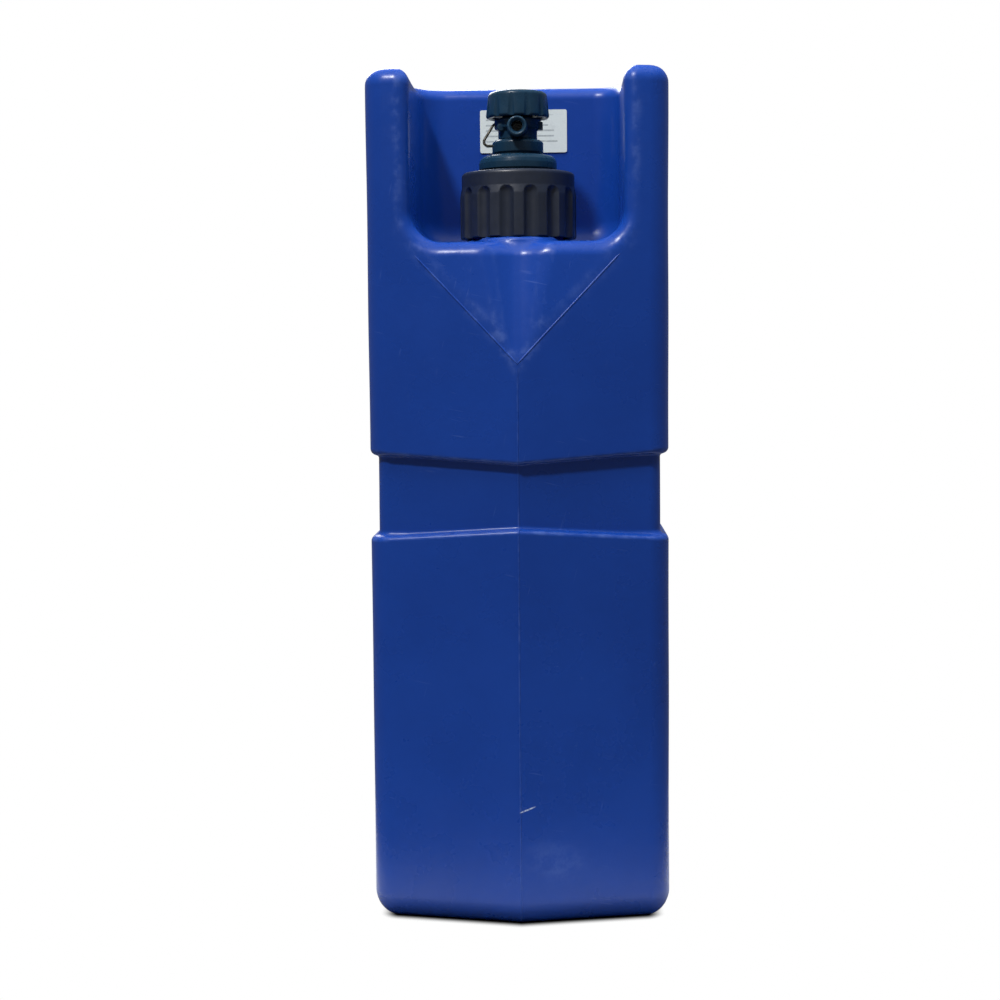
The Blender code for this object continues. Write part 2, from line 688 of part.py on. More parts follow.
def poly_wire(name, points, radius, material):
    """A round wire through points, with filled ends."""
    curve = bpy.data.curves.new(name, "CURVE")
    curve.dimensions = "3D"
    curve.bevel_depth = radius
    curve.bevel_resolution = 2
    curve.use_fill_caps = True
    spline = curve.splines.new("POLY")
    spline.points.add(len(points) - 1)
    for target, point in zip(spline.points, points):
        target.co = (*point, 1.0)
    piece = bpy.data.objects.new(name, curve)
    parts.objects.link(piece)
    curve.materials.append(material)
    return piece


def smooth_route(route, steps):
    """Points along a Catmull-Rom curve through a route."""
    ends = [route[0] * 2 - route[1]] + route + [route[-1] * 2 - route[-2]]
    points = []
    for before, start, end, after in zip(ends, ends[1:], ends[2:], ends[3:]):
        for step in range(steps):
            t = step / steps
            point = (2 * start + (end - before) * t + (2 * before - 5 * start + 4 * end - after) * t ** 2
                     + (3 * start - before - 3 * end + after) * t ** 3) / 2
            points.append(point)
    return points + [route[-1]]


def keeper_wire():
    """The bent wire from the tap's plate down to its lock nut."""
    y = OUTLET[1]
    route = [Vector((-0.0148, y - 0.001, 0.4712)), Vector((-0.0170, y - 0.002, 0.4672)),
             Vector((-0.0200, y - 0.003, 0.4616)), Vector((-0.0188, y - 0.003, 0.4588)),
             Vector((-0.0162, y - 0.002, 0.4584))]
    poly_wire("keeper_wire", smooth_route(route, 4), WIRE_RADIUS, STEEL)


# Filter cartridge

def cartridge():
    """The cartridge that hangs from the outlet base's nipple."""
    bore = NIPPLE_RADIUS + GAP
    head = [(bore, HEAD_TOP), (HEAD_RADIUS, HEAD_TOP), (HEAD_RADIUS, HEAD_BOTTOM), (WATERWAY, HEAD_BOTTOM),
            (WATERWAY, HEAD_SOCKET_FLOOR), (bore, HEAD_SOCKET_FLOOR)]
    turned("cartridge_head", head, STEPS_MEDIUM, GREY, OUTLET, ring=True)
    tube("cartridge_seal", NIPPLE_RADIUS - GAP, WATERWAY + GAP, HEAD_SOCKET_FLOOR + GAP, NIPPLE_BOTTOM - GAP,
         STEPS_SMALL, RUBBER, OUTLET)
    cage = tube("cartridge_cage", CAGE_RADIUS, CAGE_BORE, CAGE_BOTTOM, HEAD_BOTTOM - GAP, 36, GREY, OUTLET)
    slots = []
    for row in SLOT_ROWS:
        for column in range(SLOT_COLUMNS):
            slot = block("slot", (CAGE_BORE - 0.004, -SLOT_WIDTH / 2, row),
                         (CAGE_RADIUS + 0.004, SLOT_WIDTH / 2, row + SLOT_HEIGHT))
            turn = Matrix.Rotation(math.tau * (column + 0.5) / SLOT_COLUMNS, 4, "Z")
            slot.data.transform(Matrix.Translation((*OUTLET, 0.0)) @ turn)
            slots.append(slot)
    cut(cage, gather("cage_slots", slots))
    tube("prefilter_sleeve", SLEEVE_RADIUS, SLEEVE_BORE, BUNDLE_BOTTOM, BUNDLE_TOP, STEPS_SMALL, FOAM, OUTLET)
    turned("fibre_bundle", [(0.0, BUNDLE_TOP), (BUNDLE_RADIUS, BUNDLE_TOP), (BUNDLE_RADIUS, BUNDLE_BOTTOM),
                            (0.0, BUNDLE_BOTTOM)], STEPS_SMALL, NYLON, OUTLET)
    low = BUNDLE_TOP + GAP
    high = HEAD_BOTTOM - GAP
    disc = [(0.0, high), (SLEEVE_RADIUS, high), (SLEEVE_RADIUS, low), (0.0, low)]
    turned("potting_disc", disc, STEPS_SMALL, NYLON, OUTLET)
    high = CAGE_BOTTOM - GAP
    cap = [(0.0, high), (CAGE_RADIUS, high), (CAGE_RADIUS, END_CAP_BOTTOM + 0.002),
           (CAGE_RADIUS - 0.002, END_CAP_BOTTOM), (0.0, END_CAP_BOTTOM)]
    turned("cage_end_cap", cap, STEPS_MEDIUM, GREY, OUTLET)


# Pump

def pump_barrel():
    """The pump's fixed pieces: its head, bush, wiper, cylinder and foot."""
    bore = BUSH_RADIUS + GAP
    top = CYLINDER_TOP + GAP
    skirt_bore = CYLINDER_RADIUS + GAP
    head = [(bore, PUMP_BOSS_TOP), (BOSS_RADIUS - 0.0012, PUMP_BOSS_TOP),
            (BOSS_RADIUS, PUMP_BOSS_TOP - 0.0012), (BOSS_RADIUS, FLANGE_TOP), (FLANGE_RADIUS, FLANGE_TOP),
            (FLANGE_RADIUS, FLANGE_BOTTOM),
            (PUMP_SKIRT_RADIUS, FLANGE_BOTTOM), (PUMP_SKIRT_RADIUS, PUMP_SKIRT_BOTTOM),
            (skirt_bore, PUMP_SKIRT_BOTTOM), (skirt_bore, top), (bore, top)]
    turned("pump_head", head, STEPS_MEDIUM, TEAL, PUMP, ring=True)
    rod_bore = ROD_RADIUS + RUNNING_GAP
    wiper_bottom = BUSH_TOP + GAP
    tube("rod_bush", BUSH_RADIUS, rod_bore, BUSH_BOTTOM, BUSH_TOP, STEPS_MEDIUM, NYLON, PUMP)
    tube("rod_wiper", BUSH_RADIUS, rod_bore, wiper_bottom, WIPER_TOP, STEPS_MEDIUM, RUBBER, PUMP)
    tube("pump_cylinder", CYLINDER_RADIUS, CYLINDER_BORE, CYLINDER_BOTTOM, CYLINDER_TOP, STEPS_MEDIUM,
         GREY, PUMP)
    plate = CYLINDER_BOTTOM - GAP
    neck = FOOT_CHAMBER + 0.003
    foot = [(skirt_bore, FOOT_SKIRT_TOP), (FOOT_RADIUS, FOOT_SKIRT_TOP), (FOOT_RADIUS, FOOT_SEAT),
            (neck, FOOT_SEAT - 0.004), (neck, FOOT_BOTTOM), (FOOT_HOLE, FOOT_BOTTOM), (FOOT_HOLE, FOOT_LEDGE),
            (FOOT_CHAMBER, FOOT_LEDGE), (FOOT_CHAMBER, FOOT_SEAT), (FOOT_HOLE, FOOT_SEAT), (FOOT_HOLE, plate),
            (skirt_bore, plate)]
    turned("pump_foot_cap", foot, STEPS_MEDIUM, GREY, PUMP, ring=True)


def foot_valve():
    """The disc that lets air out of the pump's foot, and the spring that closes it."""
    high = FOOT_SEAT - GAP
    profile = [(0.0, high), (VALVE_DISC_RADIUS, high), (VALVE_DISC_RADIUS, VALVE_DISC_BOTTOM),
               (0.0, VALVE_DISC_BOTTOM)]
    turned("foot_valve_disc", profile, STEPS_SMALL, RUBBER, PUMP)
    low = FOOT_LEDGE + GAP + SPRING_WIRE
    rise = VALVE_DISC_BOTTOM - GAP - SPRING_WIRE - low
    count = round(SPRING_TURNS * 10)
    points = []
    for index in range(count + 1):
        angle = math.tau * SPRING_TURNS * index / count
        x = SPRING_RADIUS * math.cos(angle)
        y = SPRING_RADIUS * math.sin(angle)
        points.append((x, y, low + rise * index / count))
    spring = poly_wire("foot_valve_spring", points, SPRING_WIRE, STEEL)
    spring.location = (*PUMP, 0.0)


def pump_piston():
    bore = ROD_RADIUS + GAP
    profile = [(bore, PISTON_TOP), (PISTON_RADIUS, PISTON_TOP), (PISTON_RADIUS, PISTON_BOTTOM),
               (bore, PISTON_BOTTOM)]
    turned("pump_piston", profile, STEPS_MEDIUM, NYLON, PUMP, ring=True)
    high = PISTON_BOTTOM - GAP
    low = high - CUP_HEIGHT
    lip = CUP_RADIUS - 0.0018
    cup = [(bore, high), (CUP_RADIUS - 0.0008, high), (CUP_RADIUS, low), (lip, low),
           (lip - 0.0008, high - 0.002), (NUT_RADIUS + 0.0015, high - 0.002),
           (NUT_RADIUS + 0.0015, low), (bore, low)]
    turned("piston_cup_seal", cup, STEPS_MEDIUM, RUBBER, PUMP, ring=True)


def pump_rod():
    """The rod, its nut, its T-handle and the pin between them."""
    x, y = PUMP
    low = PISTON_TOP + GAP
    shoulder = low + ROD_COLLAR_HEIGHT
    profile = [(0.0, ROD_TOP), (ROD_RADIUS, ROD_TOP), (ROD_RADIUS, shoulder), (ROD_COLLAR_RADIUS, shoulder),
               (ROD_COLLAR_RADIUS, low), (ROD_RADIUS, low), (ROD_RADIUS, ROD_BOTTOM), (0.0, ROD_BOTTOM)]
    shaft = turned("pump_rod", profile, STEPS_MEDIUM, STEEL, PUMP)
    nut_top = PISTON_BOTTOM - 2 * GAP - CUP_HEIGHT
    nut_low = nut_top - NUT_HEIGHT
    nut = rod("piston_nut", NUT_RADIUS, (x, y, nut_low), (x, y, nut_top), 6, STEEL)
    cut(nut, rod("nut_bore", ROD_RADIUS + GAP, (x, y, nut_low - 0.002), (x, y, nut_top + 0.002), STEPS_SMALL))
    half = GRIP_HALF_LENGTH
    end = GRIP_END_RADIUS
    section = [(0.0, half), (GRIP_RADIUS - end, half)]
    section += arc((GRIP_RADIUS - end, half - end), end, math.pi / 2, 0.0, 2)[1:]
    section += [(radius, -height) for radius, height in reversed(section)]
    handle = turned("pump_handle", section, STEPS_SMALL, BLACK, PUMP)
    handle.rotation_euler = (0.0, math.pi / 2, 0.0)
    handle.location = (x, y, GRIP_HEIGHT)
    join(handle, rod("handle_hub", HUB_RADIUS, (x, y, HUB_BOTTOM), (x, y, GRIP_HEIGHT), STEPS_SMALL))
    below = (x, y, HUB_BOTTOM - 0.002)
    cut(handle, rod("handle_socket", ROD_RADIUS + GAP, below, (x, y, ROD_TOP + GAP), STEPS_SMALL))
    reach = HUB_RADIUS + 0.005
    hole = rod("pin_hole", PIN_RADIUS + GAP, (x, y - reach, PIN_HEIGHT), (x, y + reach, PIN_HEIGHT), 12)
    cut(handle, hole)
    cut(shaft, hole)
    reach = HUB_RADIUS - 0.0005
    rod("handle_pin", PIN_RADIUS, (x, y - reach, PIN_HEIGHT), (x, y + reach, PIN_HEIGHT), 12, STEEL)


can_body()
blank_label()
neck_set("outlet", OUTLET)
neck_set("pump", PUMP)
outlet_base()
tap_lock_nut()
tap_body()
spout_nozzle()
tap_bonnet()
valve_plug()
valve_stem()
tap_knob()
keeper_wire()
cartridge()
pump_barrel()
foot_valve()
pump_piston()
pump_rod()
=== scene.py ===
"""Looks of the pressurised water-filter jerry can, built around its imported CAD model.

Smooth shapes are written as distance fields, in metres, negative inside, and turned into meshes by
surface_net(). Turned pieces are profiles of (radius, height) spun about a vertical axis.
"""
import math

import bmesh
import bpy
import numpy as np
from mathutils import Matrix, Vector


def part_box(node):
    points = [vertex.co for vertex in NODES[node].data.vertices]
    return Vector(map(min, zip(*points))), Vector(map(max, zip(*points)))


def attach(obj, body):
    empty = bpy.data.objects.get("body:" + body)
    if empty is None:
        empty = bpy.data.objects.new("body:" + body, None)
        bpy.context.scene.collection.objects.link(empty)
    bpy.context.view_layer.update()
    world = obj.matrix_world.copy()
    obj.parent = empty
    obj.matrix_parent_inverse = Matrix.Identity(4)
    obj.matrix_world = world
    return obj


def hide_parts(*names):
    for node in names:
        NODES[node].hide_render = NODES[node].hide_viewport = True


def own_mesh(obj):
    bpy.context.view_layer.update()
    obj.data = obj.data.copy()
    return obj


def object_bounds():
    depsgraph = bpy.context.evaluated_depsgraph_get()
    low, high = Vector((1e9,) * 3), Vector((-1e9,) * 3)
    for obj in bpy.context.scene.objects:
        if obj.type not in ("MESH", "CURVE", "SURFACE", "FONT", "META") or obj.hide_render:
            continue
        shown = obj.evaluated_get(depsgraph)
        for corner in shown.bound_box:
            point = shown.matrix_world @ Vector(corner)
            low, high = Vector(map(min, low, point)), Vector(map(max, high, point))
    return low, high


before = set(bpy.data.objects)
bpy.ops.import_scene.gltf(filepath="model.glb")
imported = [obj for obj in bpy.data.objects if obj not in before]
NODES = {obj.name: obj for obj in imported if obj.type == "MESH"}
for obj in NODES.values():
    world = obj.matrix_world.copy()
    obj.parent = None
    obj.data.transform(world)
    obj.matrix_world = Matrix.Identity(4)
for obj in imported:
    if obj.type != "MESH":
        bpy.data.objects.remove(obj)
CAD_LOW, CAD_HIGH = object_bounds()

# Can: its box comes from the frame, and these are its features
HALF_WIDTH = (CAD_HIGH[0] - CAD_LOW[0]) / 2
CAN_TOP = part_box("can_body")[1].z
PROW_DEPTH = 0.018
SIDE_HALF_LENGTH = 0.150
RIDGE_RADIUS = 0.0016
CORNER_RADIUS = 0.012
BOTTOM_RADIUS = 0.016
TOP_RADIUS = 0.0095
WAIST_LOW, WAIST_HIGH = 0.2280, 0.2770
WAIST_DEPTH = 0.005
WAIST_DRAFT = 0.006
WAIST_SILL_SLOPE, WAIST_BROW_SLOPE = 0.5, 0.12
WAIST_SILL_RADIUS, WAIST_BROW_RADIUS = 0.0018, 0.0032
WAIST_INNER_RADIUS = 0.0016
RECESS_HALF_WIDTH = 0.0615
RECESS_FLOOR = 0.400
RECESS_BACK = 0.062
RECESS_CORNER = 0.016
RECESS_SIDE_RADIUS = 0.018
RECESS_FLOOR_RADIUS = 0.014
RIM_RADIUS = 0.009
POCKET_FLOOR = 0.440
POCKET_HALF_LENGTH = 0.044
BAR_HALF = 0.015
BAR_MIDDLE = 0.481
CHUTE_APEX = 0.3295
CHUTE_LIP = 0.1544
CHUTE_CREST = 0.0065
CHUTE_RISE = RECESS_FLOOR - CHUTE_APEX
PROW_TIP = SIDE_HALF_LENGTH + PROW_DEPTH
CHUTE_SPREAD = (PROW_TIP - CHUTE_LIP) / CHUTE_RISE * HALF_WIDTH / PROW_DEPTH
VALLEY_DEPTH, VALLEY_FLOOR = 0.0130, 0.0040
VALLEY_WIDTH, VALLEY_WIDENING = 0.0075, 0.0120
VALLEY_EDGE, VALLEY_EASING = 0.0003, 0.0030
RIM_EASING, RIM_EASING_START, RIM_EASING_LENGTH = 0.0015, 0.105, 0.035
CREASE_RADIUS = 0.0006
POCKET_RIM_RADIUS = 0.008
BAR_RADIUS, BAR_OVERLAP, BAR_FILLET = 0.010, 0.006, 0.0039
NECK_OFFSET, NECK_RADIUS, NECK_TOP = 0.110, 0.027, 0.431
NECK_BORE, BORE_FLOOR = 0.022, 0.175
ROOT = 0.38

# Round pieces that stand on the recess floor: offset, radius, top, edge and fillet
BOSS = (NECK_OFFSET, 0.0325, 0.402, 0.0010, 0.0025)
SWELL = (0.1285, 0.0215, 0.4025, 0.0020, 0.0035)
NECK = (NECK_OFFSET, NECK_RADIUS, NECK_TOP, 0.0008, 0.0012)

# The skin's waviness and the cells of its grid
WAVINESS = 0.00012
SKIN_CELL, WAIST_CELL = 0.0024, 0.0009

# Beads and threads on the skin
# The bend given to every bead and thread: it paints them paler through the wear mask, as a painted
# highlight
BEAD_HIGHLIGHT_BEND = 330.0
SEAM_WIDTH, SEAM_HEIGHT, BEAD_WIDTH, BEAD_HEIGHT, BEAD_SINK = 0.0011, 0.00024, 0.0013, 0.00030, 0.0003
SEAM_STEP = 0.0012
BEAD_RISE, BEAD_POINTS = 0.0625, 58
THREAD_TURNS, THREAD_PITCH, THREAD_LOW, THREAD_RUNOUT = 2.6, 0.006, 0.4075, 0.0016

# Fittings
COLLAR_SKIRT, COLLAR_RIM, COLLAR_LIFT = 0.0346, 0.0336, 0.0012
COLLAR_SHOULDER, COLLAR_SPRING = 0.4335, 0.4288
COLLAR_FLUTES, FLUTE_HALF_WIDTH, FLUTE_DEPTH, FLUTE_STEP = 15, 0.0042, 0.0026, 0.00025
FLANGE_RADIUS, FLANGE_BORE, FLANGE_TOP, FLANGE_FOOT = 0.029, 0.008, 0.4366, 0.4330
TURNED_EDGE, FINE_EDGE = 0.0007, 0.0003
TAP_LIFT = 0.0012
SPOUT_HEIGHT = 0.4682
TAP_CELL = 0.00045
KNOB_RADIUS, KNOB_TAPER, KNOB_FLUTES, KNOB_CUTTER = 0.01872, 0.0011, 12, 0.0024
PIN_HEIGHT = 0.460
WIRE_RADIUS = 0.0008

OUTLET = (0.0, -NECK_OFFSET)
PUMP = (0.0, NECK_OFFSET)
FRONT = -math.pi / 2


# Distance fields

def round_max(a, b, radius):
    """The greater of two distances, with the edge between them rounded."""
    inner = np.minimum(np.maximum(a, b) + radius, 0.0)
    return inner + np.hypot(np.maximum(a + radius, 0.0), np.maximum(b + radius, 0.0)) - radius


def round_min(a, b, radius):
    """The lesser of two distances, with the corner between them filleted."""
    return -round_max(-a, -b, radius)


def upright(x, y, z, at, radius, low, high, edge):
    """A vertical cylinder with rounded ends."""
    across = np.hypot(x - at[0], y - at[1]) - radius
    along = np.abs(z - (low + high) / 2) - (high - low) / 2
    return round_max(across, along, edge)


def can_outline(x, y, z):
    """The can's sides and prows, with the faint waviness of a blown wall."""
    slope = math.atan2(PROW_DEPTH, HALF_WIDTH)
    side = np.abs(x) - HALF_WIDTH
    ridge = np.hypot(x, RIDGE_RADIUS) * math.sin(slope)
    prow = (np.abs(y) - SIDE_HALF_LENGTH - PROW_DEPTH) * math.cos(slope) + ridge
    wave = np.sin(41 * x + 17 * z + 0.6) * np.sin(23 * y - 29 * z)
    wave += np.sin(53 * z + 1.1) * np.sin(31 * (x + y))
    return round_max(side, prow, CORNER_RADIUS) + WAVINESS * (2 + wave)


def can_field(x, y, z):
    """The whole can. Both ends are alike, so it is written in the distance towards an end."""
    end = np.abs(y)
    outline = can_outline(x, y, z)
    towards_prow = np.clip((end - SIDE_HALF_LENGTH) / PROW_DEPTH, 0.0, 1.0)
    half_band = (WAIST_HIGH - WAIST_LOW) / 2 - WAIST_DRAFT * towards_prow
    waist_middle = (WAIST_HIGH + WAIST_LOW) / 2
    below = z < waist_middle
    slant = np.where(below, WAIST_SILL_SLOPE, WAIST_BROW_SLOPE)
    band = (np.abs(z - waist_middle) - half_band - slant * outline) / np.hypot(1.0, slant)
    groove = round_max(band, -(outline + WAIST_DEPTH), WAIST_INNER_RADIUS)
    body = round_max(outline, -groove, np.where(below, WAIST_SILL_RADIUS, WAIST_BROW_RADIUS))
    body = round_max(body, -z, BOTTOM_RADIUS)
    body = round_max(body, z - CAN_TOP, TOP_RADIUS)

    # The chute: two facets that lean back from its apex on the prow to the lip of the recess
    crease = Vector((CHUTE_SPREAD, -PROW_DEPTH * CHUTE_SPREAD / HALF_WIDTH, 1.0))
    middle = Vector((0.0, CHUTE_LIP + CHUTE_CREST - PROW_TIP, CHUTE_RISE))
    lean = middle.cross(crease).normalized()
    facet = lean.x * np.abs(x) + lean.y * (end - PROW_TIP)
    facet = facet + lean.z * (np.minimum(z, RECESS_FLOOR) - CHUTE_APEX)
    body = round_max(body, facet, CREASE_RADIUS)

    # The groove down the middle of the chute, wider and deeper towards the lip
    up = np.clip((z - CHUTE_APEX) / CHUTE_RISE, 0.02, 1.25)
    wide = VALLEY_WIDTH + VALLEY_WIDENING * up
    deep = VALLEY_DEPTH * up ** 0.85
    valley = facet + deep * (1 - np.hypot(x, VALLEY_FLOOR + VALLEY_FLOOR * up) / wide)
    edge = VALLEY_EDGE + VALLEY_EASING * up
    body = round_max(body, valley * wide / np.hypot(wide, deep), edge)

    # The recess, and the hand pocket with its carry bar
    recess = round_max(np.abs(x) - RECESS_HALF_WIDTH, RECESS_FLOOR - z, RECESS_SIDE_RADIUS)
    recess = round_max(recess, RECESS_BACK - end, RECESS_CORNER)
    rim = RIM_RADIUS - RIM_EASING * np.clip((RIM_EASING_START - end) / RIM_EASING_LENGTH, 0.0, 1.0)
    body = round_max(body, -recess, rim)
    pocket = round_max(np.abs(x) - RECESS_HALF_WIDTH, end - POCKET_HALF_LENGTH, RECESS_CORNER)
    pocket = round_max(pocket, POCKET_FLOOR - z, RECESS_FLOOR_RADIUS)
    body = round_max(body, -pocket, POCKET_RIM_RADIUS)
    bar = round_max(np.abs(x) - BAR_HALF, np.abs(z - BAR_MIDDLE) - BAR_HALF, BAR_RADIUS)
    bar = np.maximum(bar, end - POCKET_HALF_LENGTH - BAR_OVERLAP)
    body = round_min(body, bar, BAR_FILLET)

    # The neck on its boss, the swell in front of it, and the blind bore that holds the inner pieces
    for offset, radius, top, edge, fillet in (BOSS, SWELL, NECK):
        column = upright(x, end, z, (0.0, offset), radius, ROOT, top, edge)
        body = round_min(body, column, fillet)
    bore = upright(x, end, z, (0.0, NECK_OFFSET), NECK_BORE, BORE_FLOOR, NECK_TOP + 0.02, 0.001)
    return round_max(body, -bore, CREASE_RADIUS)


def slope_of(field, points, step):
    """The gradient of a field at points."""
    gradient = np.empty_like(points)
    for axis, shift in enumerate(np.eye(3) * step):
        ahead = field(*(points + shift).T)
        behind = field(*(points - shift).T)
        gradient[:, axis] = (ahead - behind) / (2 * step)
    return gradient


def settle(field, points, step=0.0001, rounds=4, reach=0.001):
    """Moves points onto the surface of a field."""
    for _ in range(rounds):
        gradient = slope_of(field, points, step)
        size = np.maximum((gradient ** 2).sum(1), 0.05)
        move = np.clip(field(*points.T) / size, -reach, reach)
        points = points - gradient * move[:, None]
    return points


def normals_of(field, points, step):
    """The outward unit normals of a field at points."""
    gradient = slope_of(field, points, step)
    return gradient / np.maximum(np.linalg.norm(gradient, axis=1), 1e-9)[:, None]


def bends_of(field, points, step):
    """How convex a surface is at each of its points, from the field's second differences, in 1/m."""
    total = -6 * field(*points.T)
    for shift in np.eye(3) * step:
        total += field(*(points + shift).T) + field(*(points - shift).T)
    return total / step ** 2


def spaced(*runs):
    """Grid lines from runs of (start, end, step), each rounded to whole cells."""
    lines = []
    for start, end, step in runs:
        count = max(round((end - start) / step), 1)
        lines += [start + (end - start) * index / count for index in range(count)]
    return np.array(lines + [runs[-1][1]])


def both_ways(*runs):
    """Grid lines from runs on the positive side, and their mirror image."""
    lines = spaced(*runs)
    return np.concatenate([-lines[:0:-1], lines])


def surface_net(field, lines):
    """The surface of a field on a grid of lines, as points and four-sided faces."""
    grid = np.meshgrid(*lines, indexing="ij")
    values = field(*grid)
    shape = np.array(values.shape) - 1
    total = np.zeros((int(shape.prod()), 3))
    count = np.zeros(int(shape.prod()))
    faces = []
    for axis in range(3):
        near = [slice(None)] * 3
        far = [slice(None)] * 3
        near[axis] = slice(0, -1)
        far[axis] = slice(1, None)
        start = values[tuple(near)]
        end = values[tuple(far)]
        crossed = np.argwhere((start < 0) != (end < 0))
        at = tuple(crossed.T)
        share = start[at] / (start[at] - end[at])
        points = np.stack([lines[n][crossed[:, n]] for n in range(3)], axis=1)
        width = lines[axis][crossed[:, axis] + 1] - lines[axis][crossed[:, axis]]
        points[:, axis] += share * width
        others = [(axis + 1) % 3, (axis + 2) % 3]
        corners = []
        for first, second in ((0, 0), (-1, 0), (-1, -1), (0, -1)):
            cell = crossed.copy()
            cell[:, others[0]] += first
            cell[:, others[1]] += second
            flat = np.ravel_multi_index(tuple(cell.T), tuple(shape))
            corners.append(flat)
            count += np.bincount(flat, minlength=len(count))
            for n in range(3):
                total[:, n] += np.bincount(flat, weights=points[:, n], minlength=len(count))
        quads = np.stack(corners, axis=1)
        inwards = start[at] > 0
        quads[inwards] = quads[inwards][:, ::-1]
        faces.append(quads)
    used = count > 0
    index = np.cumsum(used) - 1
    return total[used] / count[used][:, None], index[np.concatenate(faces)]


# Meshes

def new_object(name, mesh, material):
    piece = bpy.data.objects.new(name, mesh)
    bpy.context.scene.collection.objects.link(piece)
    mesh.materials.append(material)
    return piece


def from_field(name, field, lines, material, step=0.0001, bend=0.0015, reach=0.001):
    """A smooth piece from a field, with exact normals, and how convex each point is as its "bend"."""
    points, faces = surface_net(field, lines)
    points = settle(field, points, step, reach=reach)
    mesh = bpy.data.meshes.new(name)
    mesh.vertices.add(len(points))
    mesh.vertices.foreach_set("co", points.astype(np.float32).ravel())
    mesh.loops.add(faces.size)
    mesh.loops.foreach_set("vertex_index", faces.astype(np.int32).ravel())
    mesh.polygons.add(len(faces))
    mesh.polygons.foreach_set("loop_start", np.arange(0, faces.size, 4, dtype=np.int32))
    mesh.update(calc_edges=True)
    mesh.validate()
    mesh.shade_smooth()
    bends = np.clip(bends_of(field, points, bend), -2000, 2000)
    layer = mesh.attributes.new("bend", "FLOAT", "POINT")
    layer.data.foreach_set("value", bends.astype(np.float32))
    mesh.normals_split_custom_set_from_vertices(normals_of(field, points, step * 2))
    return new_object(name, mesh, material)


def rounded(profile, radius, steps=4):
    """A closed profile with its corners rounded, each by no more than its sides allow."""
    result = []
    count = len(profile)
    for index in range(count):
        before, corner, after = (Vector(profile[(index + n) % count]) for n in (-1, 0, 1))
        into = before - corner
        out = after - corner
        angle = into.angle(out)
        reach = min(radius / math.tan(angle / 2), 0.45 * into.length, 0.45 * out.length)
        start = corner + into.normalized() * reach
        end = corner + out.normalized() * reach
        for step in range(steps + 1):
            t = step / steps
            result.append(tuple((1 - t) ** 2 * start + 2 * t * (1 - t) * corner + t ** 2 * end))
    return result


def closed_mesh(name, points, faces, merge=0.0):
    """A smooth-shaded mesh with its faces outwards, and points closer than merge made one."""
    mesh = bpy.data.meshes.new(name)
    mesh.from_pydata(points, [], faces)
    solid = bmesh.new()
    solid.from_mesh(mesh)
    if merge:
        bmesh.ops.remove_doubles(solid, verts=solid.verts, dist=merge)
    bmesh.ops.recalc_face_normals(solid, faces=solid.faces)
    solid.to_mesh(mesh)
    solid.free()
    mesh.shade_smooth()
    return mesh


def spun(name, profile, material, at, steps, sharp, shape=None):
    """A closed profile of (radius, height) spun about a vertical axis. shape(angle, r, z) gives r."""
    points = []
    for index in range(steps):
        angle = math.tau * index / steps
        for r, z in profile:
            here = shape(angle, r, z) if shape else r
            points.append((at[0] + here * math.cos(angle), at[1] + here * math.sin(angle), z))
    rows = len(profile)
    faces = []
    for index in range(steps):
        beyond = (index + 1) % steps
        for row in range(rows):
            after = (row + 1) % rows
            faces.append((index * rows + row, beyond * rows + row,
                          beyond * rows + after, index * rows + after))
    mesh = closed_mesh(name, points, faces, 0.000002)
    mesh.set_sharp_from_angle(angle=math.radians(sharp))
    return new_object(name, mesh, material)


def tube_faces(rings, size):
    """The faces of a tube of rings of a size, with a cap at each end."""
    last = (rings - 1) * size
    faces = [tuple(range(size)), tuple(range(last, last + size))[::-1]]
    for base in range(0, last, size):
        for row in range(size):
            after = (row + 1) % size
            faces.append((base + row, base + size + row, base + size + after, base + after))
    return faces


def strip(name, points, normals, width, height, sink, material):
    """A low bead along a path on a surface."""
    section = [(-0.5, -sink), (-0.46, 0.1 * height), (-0.24, 0.8 * height), (0.0, height),
               (0.24, 0.8 * height), (0.46, 0.1 * height), (0.5, -sink)]
    vertices = []
    last = len(points) - 1
    for index, (point, normal) in enumerate(zip(points, normals)):
        along = Vector(points[min(index + 1, last)] - points[max(index - 1, 0)]).normalized()
        normal = Vector(normal)
        across = along.cross(normal).normalized()
        taper = min(1.0, 0.25 + index / 3, 0.25 + (last - index) / 3)
        for side, lift in section:
            lifted = lift if lift < 0 else lift * taper
            vertices.append(Vector(point) + across * side * width * taper + normal * lifted)
    mesh = closed_mesh(name, vertices, tube_faces(len(points), len(section)))
    mesh.set_sharp_from_angle(angle=math.radians(60))
    # Every strip gets one set bend, which paints it paler through the wear mask: a painted highlight
    # along it
    layer = mesh.attributes.new("bend", "FLOAT", "POINT")
    layer.data.foreach_set("value", np.full(len(mesh.vertices), BEAD_HIGHLIGHT_BEND, dtype=np.float32))
    return new_object(name, mesh, material)


def tube_along(name, route, radius, material, sides=12, steps=8):
    """A round tube on a smooth curve through a route."""
    route = [Vector(point) for point in route]
    ends = [route[0] * 2 - route[1]] + route + [route[-1] * 2 - route[-2]]
    points = []
    for before, start, end, after in zip(ends, ends[1:], ends[2:], ends[3:]):
        for step in range(steps):
            t = step / steps
            bow = (2 * before - 5 * start + 4 * end - after) * t ** 2
            twist = (3 * start - before - 3 * end + after) * t ** 3
            points.append((2 * start + (end - before) * t + bow + twist) / 2)
    points.append(route[-1])
    vertices = []
    side = Vector((0.0, 1.0, 0.0))
    for index, point in enumerate(points):
        along = (points[min(index + 1, len(points) - 1)] - points[max(index - 1, 0)]).normalized()
        side = (side - along * side.dot(along)).normalized()
        up = along.cross(side)
        for corner in range(sides):
            angle = math.tau * corner / sides
            vertices.append(point + (side * math.cos(angle) + up * math.sin(angle)) * radius)
    return new_object(name, closed_mesh(name, vertices, tube_faces(len(points), sides)), material)


# Materials

